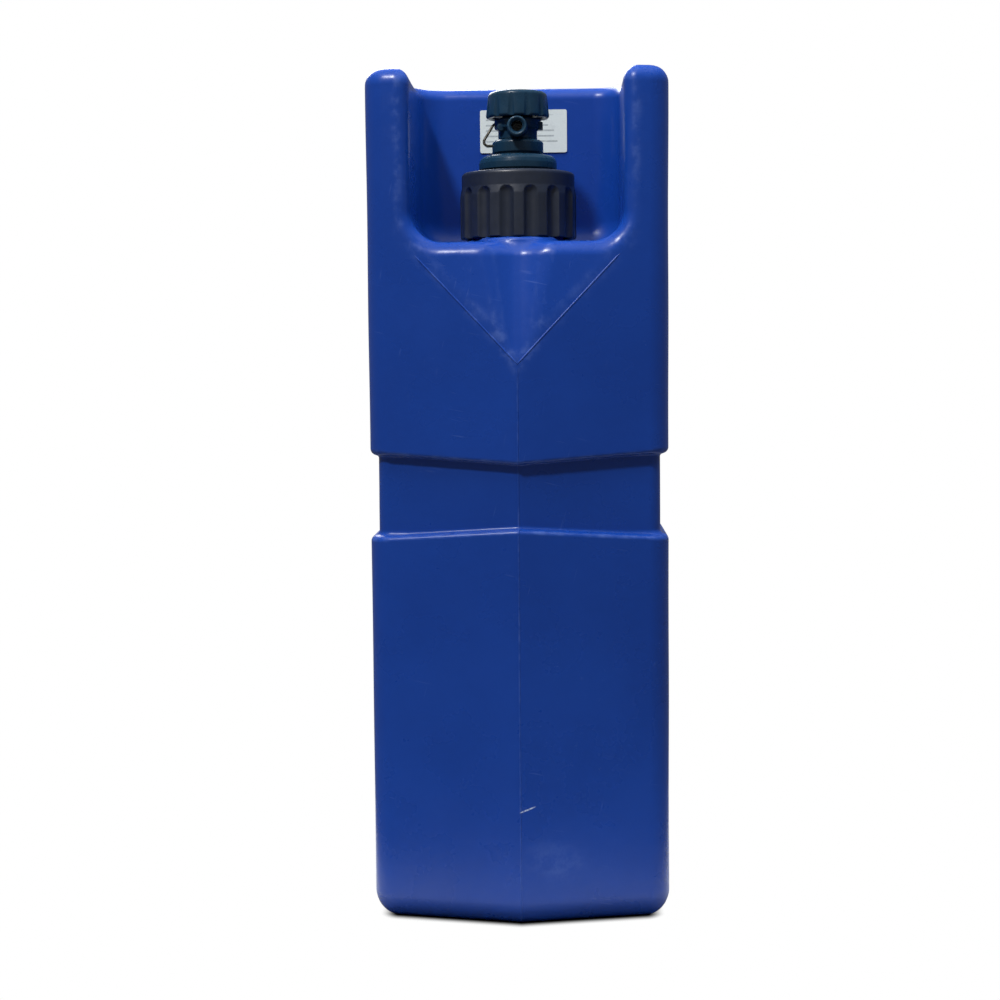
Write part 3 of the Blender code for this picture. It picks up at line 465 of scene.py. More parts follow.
class Net:
    """A material's nodes, with short calls for the ones used here."""

    def __init__(self, name, colour, roughness, metallic=0.0, specular=0.5):
        self.material = bpy.data.materials.new(name)
        self.material.use_nodes = True
        self.tree = self.material.node_tree
        self.shader = self.tree.nodes["Principled BSDF"]
        for value, socket in (((*colour, 1.0), "Base Color"), (roughness, "Roughness"),
                              (metallic, "Metallic"), (specular, "Specular IOR Level")):
            self.shader.inputs[socket].default_value = value
        self.coords = self.node("TexCoord").outputs["Object"]

    def node(self, kind):
        return self.tree.nodes.new("ShaderNode" + kind)

    def put(self, value, socket):
        """Links a socket's value, or sets a constant."""
        if isinstance(value, bpy.types.NodeSocket):
            self.tree.links.new(value, socket)
        elif isinstance(value, tuple) and len(value) == 3 and socket.type == "RGBA":
            socket.default_value = (*value, 1.0)
        else:
            socket.default_value = value

    def maths(self, operation, a, b=0.0, clamp=False):
        node = self.node("Math")
        node.operation = operation
        node.use_clamp = clamp
        self.put(a, node.inputs[0])
        self.put(b, node.inputs[1])
        return node.outputs[0]

    def times(self, a, b):
        return self.maths("MULTIPLY", a, b)

    def most(self, a, b):
        return self.maths("MAXIMUM", a, b)

    def placed(self, centre=(0.0, 0.0, 0.0), turn=(0.0, 0.0, 0.0), scale=(1.0, 1.0, 1.0)):
        """Object coordinates about a centre, turned back and divided by a scale."""
        node = self.node("Mapping")
        node.vector_type = "TEXTURE"
        self.put(self.coords, node.inputs["Vector"])
        for value, socket in ((centre, "Location"), (turn, "Rotation"), (scale, "Scale")):
            node.inputs[socket].default_value = value
        return node.outputs[0]

    def noise(self, scale, detail=3.0, rough=0.5, coords=None):
        node = self.node("TexNoise")
        for value, socket in ((scale, "Scale"), (detail, "Detail"), (rough, "Roughness")):
            node.inputs[socket].default_value = value
        self.put(coords or self.coords, node.inputs["Vector"])
        return node.outputs["Fac"]

    def blob(self, centre, turn, size):
        """One at a centre, falling to nothing at an ellipsoid of a size."""
        node = self.node("TexGradient")
        node.gradient_type = "SPHERICAL"
        self.put(self.placed(centre, turn, size), node.inputs["Vector"])
        return node.outputs["Fac"]

    def span(self, value, low, high, bottom=0.0, top=1.0):
        """A value's rise from low to high, as a rise from bottom to top."""
        node = self.node("MapRange")
        node.interpolation_type = "SMOOTHSTEP"
        self.put(value, node.inputs["Value"])
        for value, socket in ((low, "From Min"), (high, "From Max"),
                              (bottom, "To Min"), (top, "To Max")):
            node.inputs[socket].default_value = value
        return node.outputs[0]

    def blend(self, share, a, b):
        """A colour that goes from a to b as a share goes from 0 to 1."""
        node = self.node("Mix")
        node.data_type = "RGBA"
        self.put(share, node.inputs[0])
        self.put(a, node.inputs[6])
        self.put(b, node.inputs[7])
        return node.outputs[2]

    def bend(self):
        """The piece's own convexity, in 1/m. Beads and threads carry a set value instead, for their
        painted highlight.
        """
        node = self.node("Attribute")
        node.attribute_name = "bend"
        return node.outputs["Fac"]

    def bump(self, height, distance, strength=1.0, normal=None):
        node = self.node("Bump")
        node.inputs["Strength"].default_value = strength
        node.inputs["Distance"].default_value = distance
        self.put(height, node.inputs["Height"])
        if normal:
            self.put(normal, node.inputs["Normal"])
        return node.outputs[0]

    def finish(self, colour=None, roughness=None, normal=None):
        for value, name in ((colour, "Base Color"), (roughness, "Roughness"), (normal, "Normal")):
            if value is not None:
                self.put(value, self.shader.inputs[name])
        return self.material


def blue_polyethylene():
    """Blow-moulded polyethylene: clouded blue, orange peel, scratches, scuffs, rubbed edges and a
    painted highlight along its beads.
    """
    net = Net("blue_polyethylene", (0.0050, 0.041, 0.265), 0.33, specular=0.34)
    cloud = net.span(net.noise(11.0, 4.0, 0.6), 0.3, 0.7)
    colour = net.blend(cloud, (0.0045, 0.038, 0.250), (0.0056, 0.044, 0.282))
    grain = net.span(net.noise(1300.0, 2.0), 0.55, 0.8, 0.0, 0.10)
    colour = net.blend(grain, colour, (0.02, 0.08, 0.38))

    # Short streaks and nicks, faint in patches all over and stronger on the front chute
    patches = net.span(net.noise(34.0, 1.0, 0.5), 0.56, 0.66)
    streaks = net.noise(520.0, 2.0, 0.5, net.placed(turn=(0.0, 0.20, 0.0), scale=(14.0, 14.0, 1.0)))
    nicks = net.noise(430.0, 2.0, 0.5, net.placed(turn=(0.0, 0.25, 0.1), scale=(1.0, 1.0, 16.0)))
    marks = net.most(net.span(streaks, 0.66, 0.74), net.span(nicks, 0.68, 0.76))
    chute = net.most(net.blob((-0.030, -0.158, 0.380), (0.0, 0.0, 0.0), (0.042, 0.05, 0.040)),
                     net.blob((0.022, -0.158, 0.372), (0.0, 0.0, 0.0), (0.026, 0.05, 0.028)))
    strength = net.most(net.times(patches, 0.10), net.times(chute, 0.32))
    marks = net.times(marks, strength)

    # Soft scuffs, one hazy patch and one pale nick low on the prow, worn edges, and a painted highlight
    # along the beads
    scuffs = net.span(net.noise(210.0, 6.0, 0.72), 0.60, 0.78)
    scuff_places = net.span(net.noise(7.0, 1.0, 0.5, net.placed((3.1, 1.7, 0.4))), 0.50, 0.68)
    scuff_places = net.most(scuff_places, chute)
    scuffs = net.times(scuffs, net.times(scuff_places, 0.16))
    haze = net.blob((0.0205, -0.162, 0.039), (0.0, 0.25, 0.0), (0.026, 0.03, 0.016))
    haze = net.span(haze, 0.0, 0.8)
    haze = net.times(haze, net.span(net.noise(160.0, 5.0, 0.7), 0.32, 0.7, 0.0, 0.16))
    nick = net.blob((0.0040, -0.167, 0.0708), (0.0, -0.36, 0.0), (0.0058, 0.02, 0.00055))
    nick = net.span(nick, 0.0, 0.35)
    nick = net.times(nick, net.span(net.noise(900.0, 3.0), 0.35, 0.55, 0.2, 0.8))
    # Paler on convex edges for wear, and on the beads, whose set bend makes this a painted highlight
    worn_and_bead_highlight = net.span(net.bend(), 90.0, 420.0)
    worn_and_bead_highlight = net.times(worn_and_bead_highlight, net.span(net.noise(120.0, 5.0, 0.65), 0.42, 0.7, 0.02, 0.22))
    pale = net.most(net.most(marks, scuffs), net.most(haze, worn_and_bead_highlight))
    colour = net.blend(pale, colour, (0.13, 0.22, 0.55))
    colour = net.blend(nick, colour, (0.55, 0.62, 0.75))
    rough = net.span(net.noise(24.0, 4.0, 0.6), 0.3, 0.7, 0.25, 0.33)
    rough = net.maths("ADD", rough, net.times(pale, 0.9), clamp=True)
    peel = net.bump(net.noise(190.0, 3.0, 0.5), 0.00022, 0.55)
    fine = net.bump(net.noise(1500.0, 3.0, 0.6), 0.00003, 0.6, peel)
    cuts = net.bump(marks, -0.00003, 0.6, fine)
    return net.finish(colour, rough, cuts)


def moulded(name, colour, lit, roughness, grain=2400.0, depth=0.00003, specular=0.5):
    """Hard moulded plastic: clouded colour, a fine tool grain and slightly rubbed edges."""
    net = Net(name, colour, roughness, specular=specular)
    cloud = net.span(net.noise(70.0, 4.0, 0.6), 0.3, 0.7)
    darker = tuple(part * 0.82 for part in colour)
    mixed = net.blend(cloud, darker, colour)
    rubbed = net.times(net.span(net.bend(), 250.0, 1500.0),
                       net.span(net.noise(420.0, 4.0, 0.6), 0.38, 0.66, 0.1, 0.55))
    dust = net.span(net.noise(260.0, 6.0, 0.7), 0.56, 0.8, 0.0, 0.16)
    mixed = net.blend(net.most(rubbed, dust), mixed, lit)
    rough = net.span(net.noise(150.0, 4.0, 0.6), 0.3, 0.7, roughness - 0.05, roughness + 0.07)
    height = net.bump(net.noise(grain, 3.0, 0.6), depth, 0.7)
    return net.finish(mixed, rough, net.bump(net.noise(300.0, 2.0), 0.00006, 0.4, height))


def steel():
    """Stainless steel, brushed along its height."""
    net = Net("stainless_steel", (0.55, 0.55, 0.54), 0.3, metallic=1.0)
    brush = net.noise(900.0, 4.0, 0.65, net.placed(scale=(1.0, 1.0, 0.06)))
    colour = net.blend(net.span(brush, 0.3, 0.7), (0.46, 0.46, 0.46), (0.62, 0.62, 0.61))
    rough = net.span(net.noise(500.0, 4.0, 0.6), 0.3, 0.7, 0.22, 0.38)
    return net.finish(colour, rough, net.bump(brush, 0.00001, 0.6))


def dull_wire():
    """Steel wire gone dark and dull with handling."""
    net = Net("dull_steel_wire", (0.10, 0.09, 0.07), 0.5, metallic=0.7)
    tarnish = net.span(net.noise(700.0, 4.0, 0.6), 0.35, 0.65)
    colour = net.blend(tarnish, (0.055, 0.050, 0.040), (0.15, 0.14, 0.12))
    rough = net.span(net.noise(900.0, 3.0), 0.3, 0.7, 0.38, 0.6)
    return net.finish(colour, rough, net.bump(net.noise(2500.0, 3.0), 0.00001, 0.6))


def soft(name, colour, roughness, scale, depth):
    """Rubber, nylon or foam: a plain colour with its own grain and mottling."""
    net = Net(name, colour, roughness)
    mottle = net.span(net.noise(90.0, 5.0, 0.6), 0.3, 0.7)
    mottle = net.blend(mottle, tuple(part * 0.8 for part in colour), colour)
    grain = net.noise(scale, 4.0, 0.65)
    rough = net.span(grain, 0.3, 0.7, roughness - 0.06, min(roughness + 0.06, 1.0))
    return net.finish(mottle, rough, net.bump(grain, depth, 0.8))


def label_paper():
    """A blank paper label with plain grey bars and a little grime."""
    low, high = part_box("blank_label")
    pitch = 0.0033
    net = Net("label_paper", (0.70, 0.75, 0.74), 0.6, specular=0.35)
    fibre = net.noise(1600.0, 5.0, 0.7, net.placed(scale=(1.0, 1.0, 0.35)))
    colour = net.blend(net.span(fibre, 0.3, 0.7), (0.61, 0.66, 0.645), (0.69, 0.74, 0.725))
    split = net.node("SeparateXYZ")
    net.put(net.coords, split.inputs[0])
    across, _, up = split.outputs
    rows = net.times(net.maths("SUBTRACT", up, low.z + 0.002), 1 / pitch)
    off_middle = net.maths("ABSOLUTE", net.maths("SUBTRACT", net.maths("FRACT", rows), 0.5))
    bars = net.span(off_middle, 0.17, 0.13)
    spread = net.maths("SINE", net.times(net.maths("FLOOR", rows), 12.9898))
    shift = net.maths("FRACT", net.times(spread, 43.7))
    end = net.maths("ADD", net.times(net.maths("ABSOLUTE", shift), 0.010), high.x - 0.0155)
    inside = net.times(net.span(across, low.x + 0.0035, low.x + 0.0037),
                       net.span(net.maths("SUBTRACT", across, end), 0.0002, 0.0))
    framed = net.times(net.span(up, low.z + 0.0020, low.z + 0.0022),
                       net.span(up, high.z - 0.0030, high.z - 0.0032))
    ink = net.times(net.times(bars, inside), framed)
    ink = net.times(ink, net.span(net.noise(1200.0, 3.0), 0.3, 0.6, 0.35, 0.65))
    colour = net.blend(ink, colour, (0.17, 0.20, 0.22))
    grime = net.span(net.noise(180.0, 5.0, 0.7), 0.5, 0.8, 0.0, 0.25)
    colour = net.blend(grime, colour, (0.30, 0.34, 0.36))
    return net.finish(colour, net.span(fibre, 0.3, 0.7, 0.5, 0.66), net.bump(fibre, 0.00002, 0.7))


BLUE = blue_polyethylene()
BLACK = moulded("black_collar_plastic", (0.0140, 0.0190, 0.034), (0.075, 0.083, 0.10), 0.40)
TEAL = moulded("dark_teal_plastic", (0.0085, 0.031, 0.060), (0.040, 0.085, 0.13), 0.28, specular=0.26)
PAPER = label_paper()
RUBBER = soft("black_rubber", (0.020, 0.020, 0.021), 0.62, 900.0, 0.00003)
NYLON = soft("white_nylon", (0.70, 0.70, 0.67), 0.42, 1500.0, 0.00001)
GREY = soft("grey_plastic", (0.20, 0.21, 0.22), 0.40, 2000.0, 0.00001)
FOAM = soft("filter_foam", (0.75, 0.74, 0.68), 0.85, 700.0, 0.0002)
STEEL = steel()
WIRE = dull_wire()


def base_name(material):
    """A material's name without its number. Each finish has the name of its slot."""
    return material.name.split(".")[0]


FINISHES = {base_name(material): material
            for material in (BLUE, BLACK, TEAL, PAPER, RUBBER, NYLON, GREY, FOAM, STEEL)}
SLOTS = {material: slot for slot, material in FINISHES.items()}
SLOTS[WIRE] = base_name(STEEL)


def carry(piece, body, *nodes):
    """Rides a piece on a body and stands it for CAD nodes."""
    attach(piece, body)
    if nodes:
        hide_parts(*nodes)
    return piece


# The can's skin and its mould lines

def can_skin():
    """The can's outside on a grid that is fine at its ends, its waist's edges and its top."""
    across = both_ways((0.0, HALF_WIDTH + 0.002, SKIN_CELL))
    along = both_ways((0.0, 0.040, 0.004), (0.040, PROW_TIP + 0.003, SKIN_CELL))
    up = spaced((-0.002, 0.018, 0.002), (0.018, 0.2200, 0.0085), (0.2200, 0.2405, WAIST_CELL),
                (0.2405, 0.2665, 0.004), (0.2665, 0.2810, WAIST_CELL), (0.281, 0.325, 0.005),
                (0.325, CAN_TOP + 0.003, SKIN_CELL))
    skin = from_field("can_skin", can_field, (across, along, up), BLUE)
    carry(skin, "can", "can_body")


def mould_lines():
    """The parting line down each prow, and the beads along the chutes' creases."""
    for side, end in ((-1, "front"), (1, "rear")):
        heading = Vector((0.0, 0.0, -1.0))
        point = np.array([[0.0, side * PROW_TIP, CHUTE_APEX - 0.001]])
        path = []
        while True:
            point = settle(can_field, point)
            normal = Vector(normals_of(can_field, point, 0.0002)[0])
            path.append(point[0].copy())
            if path[-1][2] < SEAM_STEP:
                break
            tangent = normal.cross(Vector((1.0, 0.0, 0.0))).normalized()
            if tangent.dot(heading) < 0:
                tangent.negate()
            heading = tangent
            point = point + np.array(tangent) * SEAM_STEP
        path = np.array(path)
        normals = normals_of(can_field, path, 0.0004)
        seam = strip("parting_line_" + end, path, normals, SEAM_WIDTH, SEAM_HEIGHT, BEAD_SINK, BLUE)
        carry(seam, "can")
        for hand, way in ((-1, "left"), (1, "right")):
            up = np.linspace(0.0, BEAD_RISE, BEAD_POINTS)
            across = hand * CHUTE_SPREAD * up
            along = side * (SIDE_HALF_LENGTH + PROW_DEPTH * (1 - np.abs(across) / HALF_WIDTH))
            path = settle(can_field, np.stack([across, along, CHUTE_APEX + up], 1))
            normals = normals_of(can_field, path, 0.0008)
            name = "chute_bead_" + end + "_" + way
            carry(strip(name, path, normals, BEAD_WIDTH, BEAD_HEIGHT, BEAD_SINK, BLUE), "can")


def neck_thread(name, at):
    """The raised thread on a neck."""
    steps = 48
    count = int(THREAD_TURNS * steps)
    path = []
    normals = []
    for index in range(count + 1):
        angle = math.tau * index / steps
        fade = min(1.0, index / 16, (count - index) / 16)
        radius = NECK_RADIUS - THREAD_RUNOUT * (1 - fade)
        path.append(np.array([at[0] + radius * math.cos(angle), at[1] + radius * math.sin(angle),
                              THREAD_LOW + THREAD_PITCH * index / steps]))
        normals.append((math.cos(angle), math.sin(angle), 0.0))
    carry(strip(name, path, normals, 0.0034, 0.0020, 0.0006, BLUE), "can")


# Collars, tap and pump

def slot_offset(angle, first, count):
    """How far an angle is from the nearest of count evenly spaced slots."""
    slot = math.tau / count
    return (angle - first + slot / 2) % slot - slot / 2


def collar(name, at, body, node):
    """A ribbed screw collar: a smooth rim over fifteen ribs, with arch-topped flutes between them."""
    low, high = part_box(node)
    low.z += COLLAR_LIFT
    skirt, rim, shoulder, spring = COLLAR_SKIRT, COLLAR_RIM, COLLAR_SHOULDER, COLLAR_SPRING
    first = math.radians(-10.3) + FRONT
    arch = shoulder - FLUTE_HALF_WIDTH - 0.0001

    def fluted(angle, r, z):
        if r < rim - 0.0002 or z > shoulder or z < low.z + 0.0001 and r < skirt - 0.001:
            return r
        reach = math.hypot(slot_offset(angle, first, COLLAR_FLUTES) * skirt, max(z - arch, 0.0))
        share = max(1 - (reach / FLUTE_HALF_WIDTH) ** 2, 0.0)
        floor = skirt - FLUTE_DEPTH * share ** 0.85 - FLUTE_STEP * min(share * 4, 1.0)
        return min(r, floor) if share > 0 else r

    outer = [(skirt, low.z + 0.0006 + (spring - low.z - 0.0006) * n / 30) for n in range(31)]
    slope = [(skirt + (rim - skirt) * n / 10, spring + (shoulder - spring) * n / 10)
             for n in range(1, 11)]
    crown = [(rim, shoulder + 0.0002), (rim, shoulder + 0.003), (rim, high.z - 0.0030)]
    crown += [(rim - 0.0022 * (1 - math.cos(a)), high.z - 0.0022 * (1 - math.sin(a)))
              for a in np.linspace(0, math.pi / 2, 7)]
    crown += [(0.0272, high.z), (0.0266, high.z - 0.0003), (0.0247, high.z - 0.0003),
              (0.0243, high.z - 0.0005), (0.0240, high.z - 0.0009)]
    inside = [(0.0240, 0.4385), (0.0242, 0.4382), (0.0302, 0.4382), (0.0304, 0.4380),
              (0.0304, low.z + 0.0006), (0.0309, low.z), (skirt - 0.0006, low.z)]
    carry(spun(name, outer + slope + crown + inside, BLACK, at, 360, 32, fluted), body, node)


def turned(name, corners, material, at, body, node, edge=TURNED_EDGE, steps=96):
    """A turned piece with rounded edges, in place of a node."""
    carry(spun(name, rounded(corners, edge), material, at, steps, 50), body, node)


def flange_profile(boss_top):
    """The shared top of the outlet base and the pump head: a flange with a round-shouldered boss."""
    return [(FLANGE_BORE, boss_top), (0.0188, boss_top), (0.0204, boss_top - 0.0004),
            (0.0217, boss_top - 0.0012), (0.0227, boss_top - 0.0026), (0.0232, boss_top - 0.0046),
            (0.0232, 0.4444), (0.0224, 0.4438), (0.0224, FLANGE_TOP + 0.0002),
            (FLANGE_RADIUS, FLANGE_TOP), (FLANGE_RADIUS, FLANGE_FOOT)]


def outlet_base():
    low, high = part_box("outlet_base")
    profile = flange_profile(high.z + TAP_LIFT)
    profile += [(0.0100, FLANGE_FOOT), (0.0100, low.z), (0.0045, low.z), (0.0045, 0.4411),
                (FLANGE_BORE, 0.4411)]
    turned("outlet_base_turned", profile, TEAL, OUTLET, "can", "outlet_base")


def lock_nut():
    low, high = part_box("tap_lock_nut")
    radius = (high.x - low.x) / 2
    low.z += TAP_LIFT
    high.z += TAP_LIFT
    profile = [(0.0081, high.z), (radius - 0.0016, high.z), (radius - 0.0004, high.z - 0.0010),
               (radius, high.z - 0.0018), (radius, low.z + 0.0016), (radius - 0.0010, low.z + 0.0010),
               (radius - 0.0010, low.z), (0.0081, low.z)]
    turned("lock_nut_turned", profile, TEAL, OUTLET, "can", "tap_lock_nut")


def tap_field(x, y, z):
    """The tap's casting: shank, barrel, plate, spout boss, the wire's eye and a stop tab."""
    x = x - OUTLET[0]
    y = y - OUTLET[1]
    axis = (0.0, 0.0)
    barrel = upright(x, y, z, axis, 0.0116, 0.4608 + TAP_LIFT, 0.4700, 0.0008)
    shank = upright(x, y, z, axis, 0.0076, 0.4414, 0.4640, 0.0004)
    plate = upright(x, y, z, axis, 0.0138, 0.4681, 0.4744, 0.0014)
    body = round_min(round_min(barrel, plate, 0.0010), shank, 0.0003)
    spout = np.hypot(x, z - SPOUT_HEIGHT)
    boss = round_max(spout - 0.0058, np.abs(y + 0.0110) - 0.0059, 0.0007)
    body = round_min(body, boss, 0.0010)
    eye = round_max(np.hypot(x + 0.0095, z - 0.4688) - 0.0026, np.abs(y + 0.0062) - 0.0037, 0.0012)
    body = round_min(body, eye, 0.0008)
    tab = round_max(np.abs(x - 0.0130) - 0.0020, np.abs(z - 0.4700) - 0.0023, 0.0007)
    tab = round_max(tab, np.abs(y + 0.0020) - 0.0026, 0.0006)
    body = round_min(body, tab, 0.0006)
    bore = upright(x, y, z, axis, 0.0096, 0.4717, 0.480, 0.0002)
    chamber = upright(x, y, z, axis, 0.0062, 0.4591, 0.475, 0.0002)
    way = upright(x, y, z, axis, 0.0035, 0.430, 0.462, 0.0002)
    passage = np.maximum(spout - 0.0033, y + 0.0035)
    hollow = np.minimum(np.minimum(bore, chamber), np.minimum(way, passage))
    return round_max(body, -hollow, 0.0004)


def nozzle_field(x, y, z):
    """The spout's ringed nozzle, with a flared mouth."""
    low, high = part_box("spout_nozzle")
    middle = (low.y + high.y) / 2
    across = np.hypot(x - OUTLET[0], z - (low.z + high.z) / 2)
    groove = 0.0005 * np.exp(-((y - low.y - 0.0034) / 0.0004) ** 2)
    outer = round_max(across - 0.00565 + groove, np.abs(y - middle) - (high.y - low.y) / 2, 0.0008)
    flare = 0.0012 * np.clip((low.y + 0.0014 - y) / 0.0014, 0.0, 1.0)
    return round_max(outer, -(across - 0.0033 - flare), 0.0004)


def knob():
    """The tap's knob: tapered, with flutes round it, a screw hole through its web and a hollow below."""
    low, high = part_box("tap_knob")
    radius = KNOB_RADIUS
    narrow = radius - KNOB_TAPER
    reach = radius + 0.0012
    first = math.radians(-10.5) + FRONT
    web = high.z - 0.0049
    top = high.z - 0.0008
    foot = low.z - 0.0013

    def lobed(angle, r, z):
        off = slot_offset(angle, first, KNOB_FLUTES)
        inside = KNOB_CUTTER ** 2 - (reach * math.sin(off)) ** 2
        if inside <= 0:
            return r
        wall = reach * math.cos(off) - math.sqrt(inside)
        softness = 0.0005
        h = max(softness - abs(r - wall), 0.0) / softness
        return min(r, wall) - h * h * softness / 4

    def corner(centre, size, start, end):
        return [(centre[0] + size * math.cos(a), centre[1] + size * math.sin(a))
                for a in np.linspace(start, end, 9)]

    quarter = math.pi / 2
    profile = [(0.0035, top - 0.0012), (0.0042, top - 0.0005), (0.0056, top - 0.0002),
               (0.0100, top - 0.0001), (0.0130, top)]
    profile += corner((narrow - 0.0028, top - 0.0028), 0.0028, quarter, 0.0)
    profile += [(narrow + KNOB_TAPER * n / 6, top - 0.0028 + (foot + 0.0044 - top) * n / 6)
                for n in range(1, 7)]
    profile += corner((radius - 0.0014, foot + 0.0014), 0.0014, 0.0, -quarter)
    profile += [(0.0154, foot), (0.0151, foot + 0.0003), (0.0150, low.z), (0.0100, low.z),
                (0.0030, low.z), (0.0029, low.z + 0.0003), (0.0029, web), (0.0014, web),
                (0.0014, web + 0.0010), (0.0035, web + 0.0010)]
    carry(spun("tap_knob_lobed", profile, TEAL, OUTLET, 360, 50, lobed), "tap_handle", "tap_knob")


def screw_field(x, y, z):
    """The knob's screw: a domed, slotted head on a plain shank."""
    low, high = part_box("knob_screw")
    across = np.hypot(x - OUTLET[0], y - OUTLET[1])
    head_low = high.z - 0.0021
    crown = high.z + 0.00005 - 22.0 * across ** 2
    head = round_max(across - 0.0031, np.maximum(z - crown, head_low - z), 0.0003)
    slot = np.maximum(np.abs(x + y - OUTLET[1]) - 0.0005, high.z - 0.0009 - z)
    head = np.maximum(head, -slot)
    shank = np.maximum(across - 0.0010, np.maximum(low.z - z, z - head_low - 0.0004))
    return np.minimum(head, shank)


def handle_field(x, y, z):
    """The pump's T-handle: a waisted round grip on a hub, bored for the rod and the pin."""
    low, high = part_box("pump_handle")
    x = x - PUMP[0]
    y = y - PUMP[1]
    half = (high.x - low.x) / 2
    middle = high.z - 0.009
    waist = 0.0007 * (1 + np.cos(np.clip(np.abs(x) / 0.024 - 1, -1, 1) * math.pi)) / 2
    grip = round_max(np.hypot(y, z - middle) - 0.00895 + waist, np.abs(x) - half + 0.0001, 0.0045)
    hub = upright(x, y, z, (0.0, 0.0), 0.0079, low.z + 0.0001, middle, 0.0008)
    body = round_min(grip, hub, 0.0040)
    rod_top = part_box("pump_rod")[1].z
    socket = upright(x, y, z, (0.0, 0.0), 0.00428, low.z - 0.01, rod_top + 0.0003, 0.0002)
    pin_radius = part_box("handle_pin")[1].x
    pin = np.maximum(np.hypot(x, z - PIN_HEIGHT) - pin_radius - 0.0002, np.abs(y) - 0.02)
    return round_max(body, -np.minimum(socket, pin), 0.0005)


def tap_pieces():
    x, y = OUTLET
    lines = (spaced((x - 0.0185, x + 0.0190, TAP_CELL)), spaced((y - 0.0180, y + 0.0160, TAP_CELL)),
             spaced((0.4405, 0.4755, TAP_CELL)))
    tap = from_field("tap_body_cast", tap_field, lines, TEAL, 0.00005, 0.0004, 0.0003)
    carry(tap, "can", "tap_body")
    lines = (spaced((x - 0.0065, x + 0.0065, 0.0004)), spaced((y - 0.0226, y - 0.0166, 0.0003)),
             spaced((0.4617, 0.4747, 0.0004)))
    nozzle = from_field("spout_nozzle_ringed", nozzle_field, lines, TEAL, 0.00005, 0.0004, 0.0003)
    carry(nozzle, "can", "spout_nozzle")
    low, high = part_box("knob_screw")
    lines = (spaced((x - 0.0036, x + 0.0036, 0.00018)), spaced((y - 0.0036, y + 0.0036, 0.00018)),
             spaced((low.z - 0.0003, high.z + 0.0004, 0.0002)))
    screw = from_field("knob_screw_slotted", screw_field, lines, STEEL, 0.00003, 0.0002, 0.0001)
    carry(screw, "tap_handle", "knob_screw")

    # From the plate, out and down, and back in to the shank
    route = [(-0.0126, y - 0.0010, 0.4716), (-0.0142, y - 0.0010, 0.4712), (-0.0156, y - 0.0015, 0.4692),
             (-0.0176, y - 0.0022, 0.4658), (-0.0197, y - 0.0029, 0.4622), (-0.0199, y - 0.0030, 0.4602),
             (-0.0188, y - 0.0030, 0.4589), (-0.0172, y - 0.0026, 0.4586), (-0.0146, y - 0.0018, 0.4586)]
    carry(tube_along("keeper_wire_bent", route, WIRE_RADIUS, WIRE), "can", "keeper_wire")


def pump_pieces():
    low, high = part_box("pump_head")
    profile = flange_profile(high.z)
    profile += [(0.0215, FLANGE_FOOT), (0.0215, low.z), (0.0188, low.z), (0.0188, 0.4263),
                (FLANGE_BORE, 0.4263)]
    turned("pump_head_turned", profile, TEAL, PUMP, "can", "pump_head")
    low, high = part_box("rod_wiper")
    bore = 0.0041
    profile = [(bore, high.z), (bore + 0.0009, high.z), (bore + 0.0017, high.z - 0.0010),
               (0.0066, high.z - 0.0010), (0.0070, high.z), (0.0076, high.z), (0.0076, low.z),
               (bore, low.z)]
    turned("rod_wiper_lipped", profile, RUBBER, PUMP, "can", "rod_wiper", FINE_EDGE)
    low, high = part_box("pump_rod")
    profile = [(0.00001, high.z), (0.0040, high.z), (0.0040, 0.2380), (0.0070, 0.2380), (0.0070, 0.2343),
               (0.0040, 0.2343), (0.0040, low.z), (0.00001, low.z)]
    turned("pump_rod_ground", profile, STEEL, PUMP, "plunger", "pump_rod", FINE_EDGE, 64)
    low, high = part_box("pump_handle")
    lines = [spaced((low[axis] - 0.001, high[axis] + 0.001, 0.0009)) for axis in range(3)]
    handle = from_field("pump_handle_moulded", handle_field, lines, BLACK, 0.0001, 0.0008, 0.0005)
    carry(handle, "plunger", "pump_handle")


def valve_spring():
    """The foot valve's spring, a steel copy of its node's coil. The real spring shortens as its disc
    opens.
    """
    node = NODES["foot_valve_spring"]
    mesh = node.data.copy()
    mesh.materials.clear()
    piece = new_object("valve_spring_coiled", mesh, STEEL)
    piece.matrix_world = node.matrix_world
    carry(piece, "can", "foot_valve_spring")
    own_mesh(piece)


def label():
    """A paper label with rounded corners, stuck on the recess's back wall."""
    low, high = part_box("blank_label")
    radius, steps = 0.0012, 5
    outline = []
    for cx, cz, start in ((high.x - radius, high.z - radius, 0.0),
                          (low.x + radius, high.z - radius, 0.5),
                          (low.x + radius, low.z + radius, 1.0),
                          (high.x - radius, low.z + radius, 1.5)):
        for step in range(steps + 1):
            angle = math.pi * (start + 0.5 * step / steps)
            outline.append((cx + radius * math.cos(angle), cz + radius * math.sin(angle)))
    points = [(x, y, z) for y in (high.y, low.y) for x, z in outline]
    mesh = closed_mesh("label_sheet", points, tube_faces(2, len(outline)))
    mesh.shade_flat()
    carry(new_object("label_sheet", mesh, PAPER), "can", "blank_label")


def carried_nodes():
    """The inner CAD pieces stay as they are and take the detailed finish of their slot."""
    for piece in NODES.values():
        for slot in piece.material_slots:
            if slot.material and base_name(slot.material) in FINISHES:
                slot.material = FINISHES[base_name(slot.material)]
        if not piece.material_slots:
            piece.data.materials.append(GREY)


carried_nodes()
can_skin()
mould_lines()
neck_thread("outlet_neck_thread", OUTLET)
neck_thread("pump_neck_thread", PUMP)
collar("outlet_collar_ribbed", OUTLET, "outlet_cap", "outlet_collar")
collar("pump_collar_ribbed", PUMP, "pump_cap", "pump_collar")
outlet_base()
lock_nut()
tap_pieces()
knob()
pump_pieces()
valve_spring()
label()


# Floor, light and camera

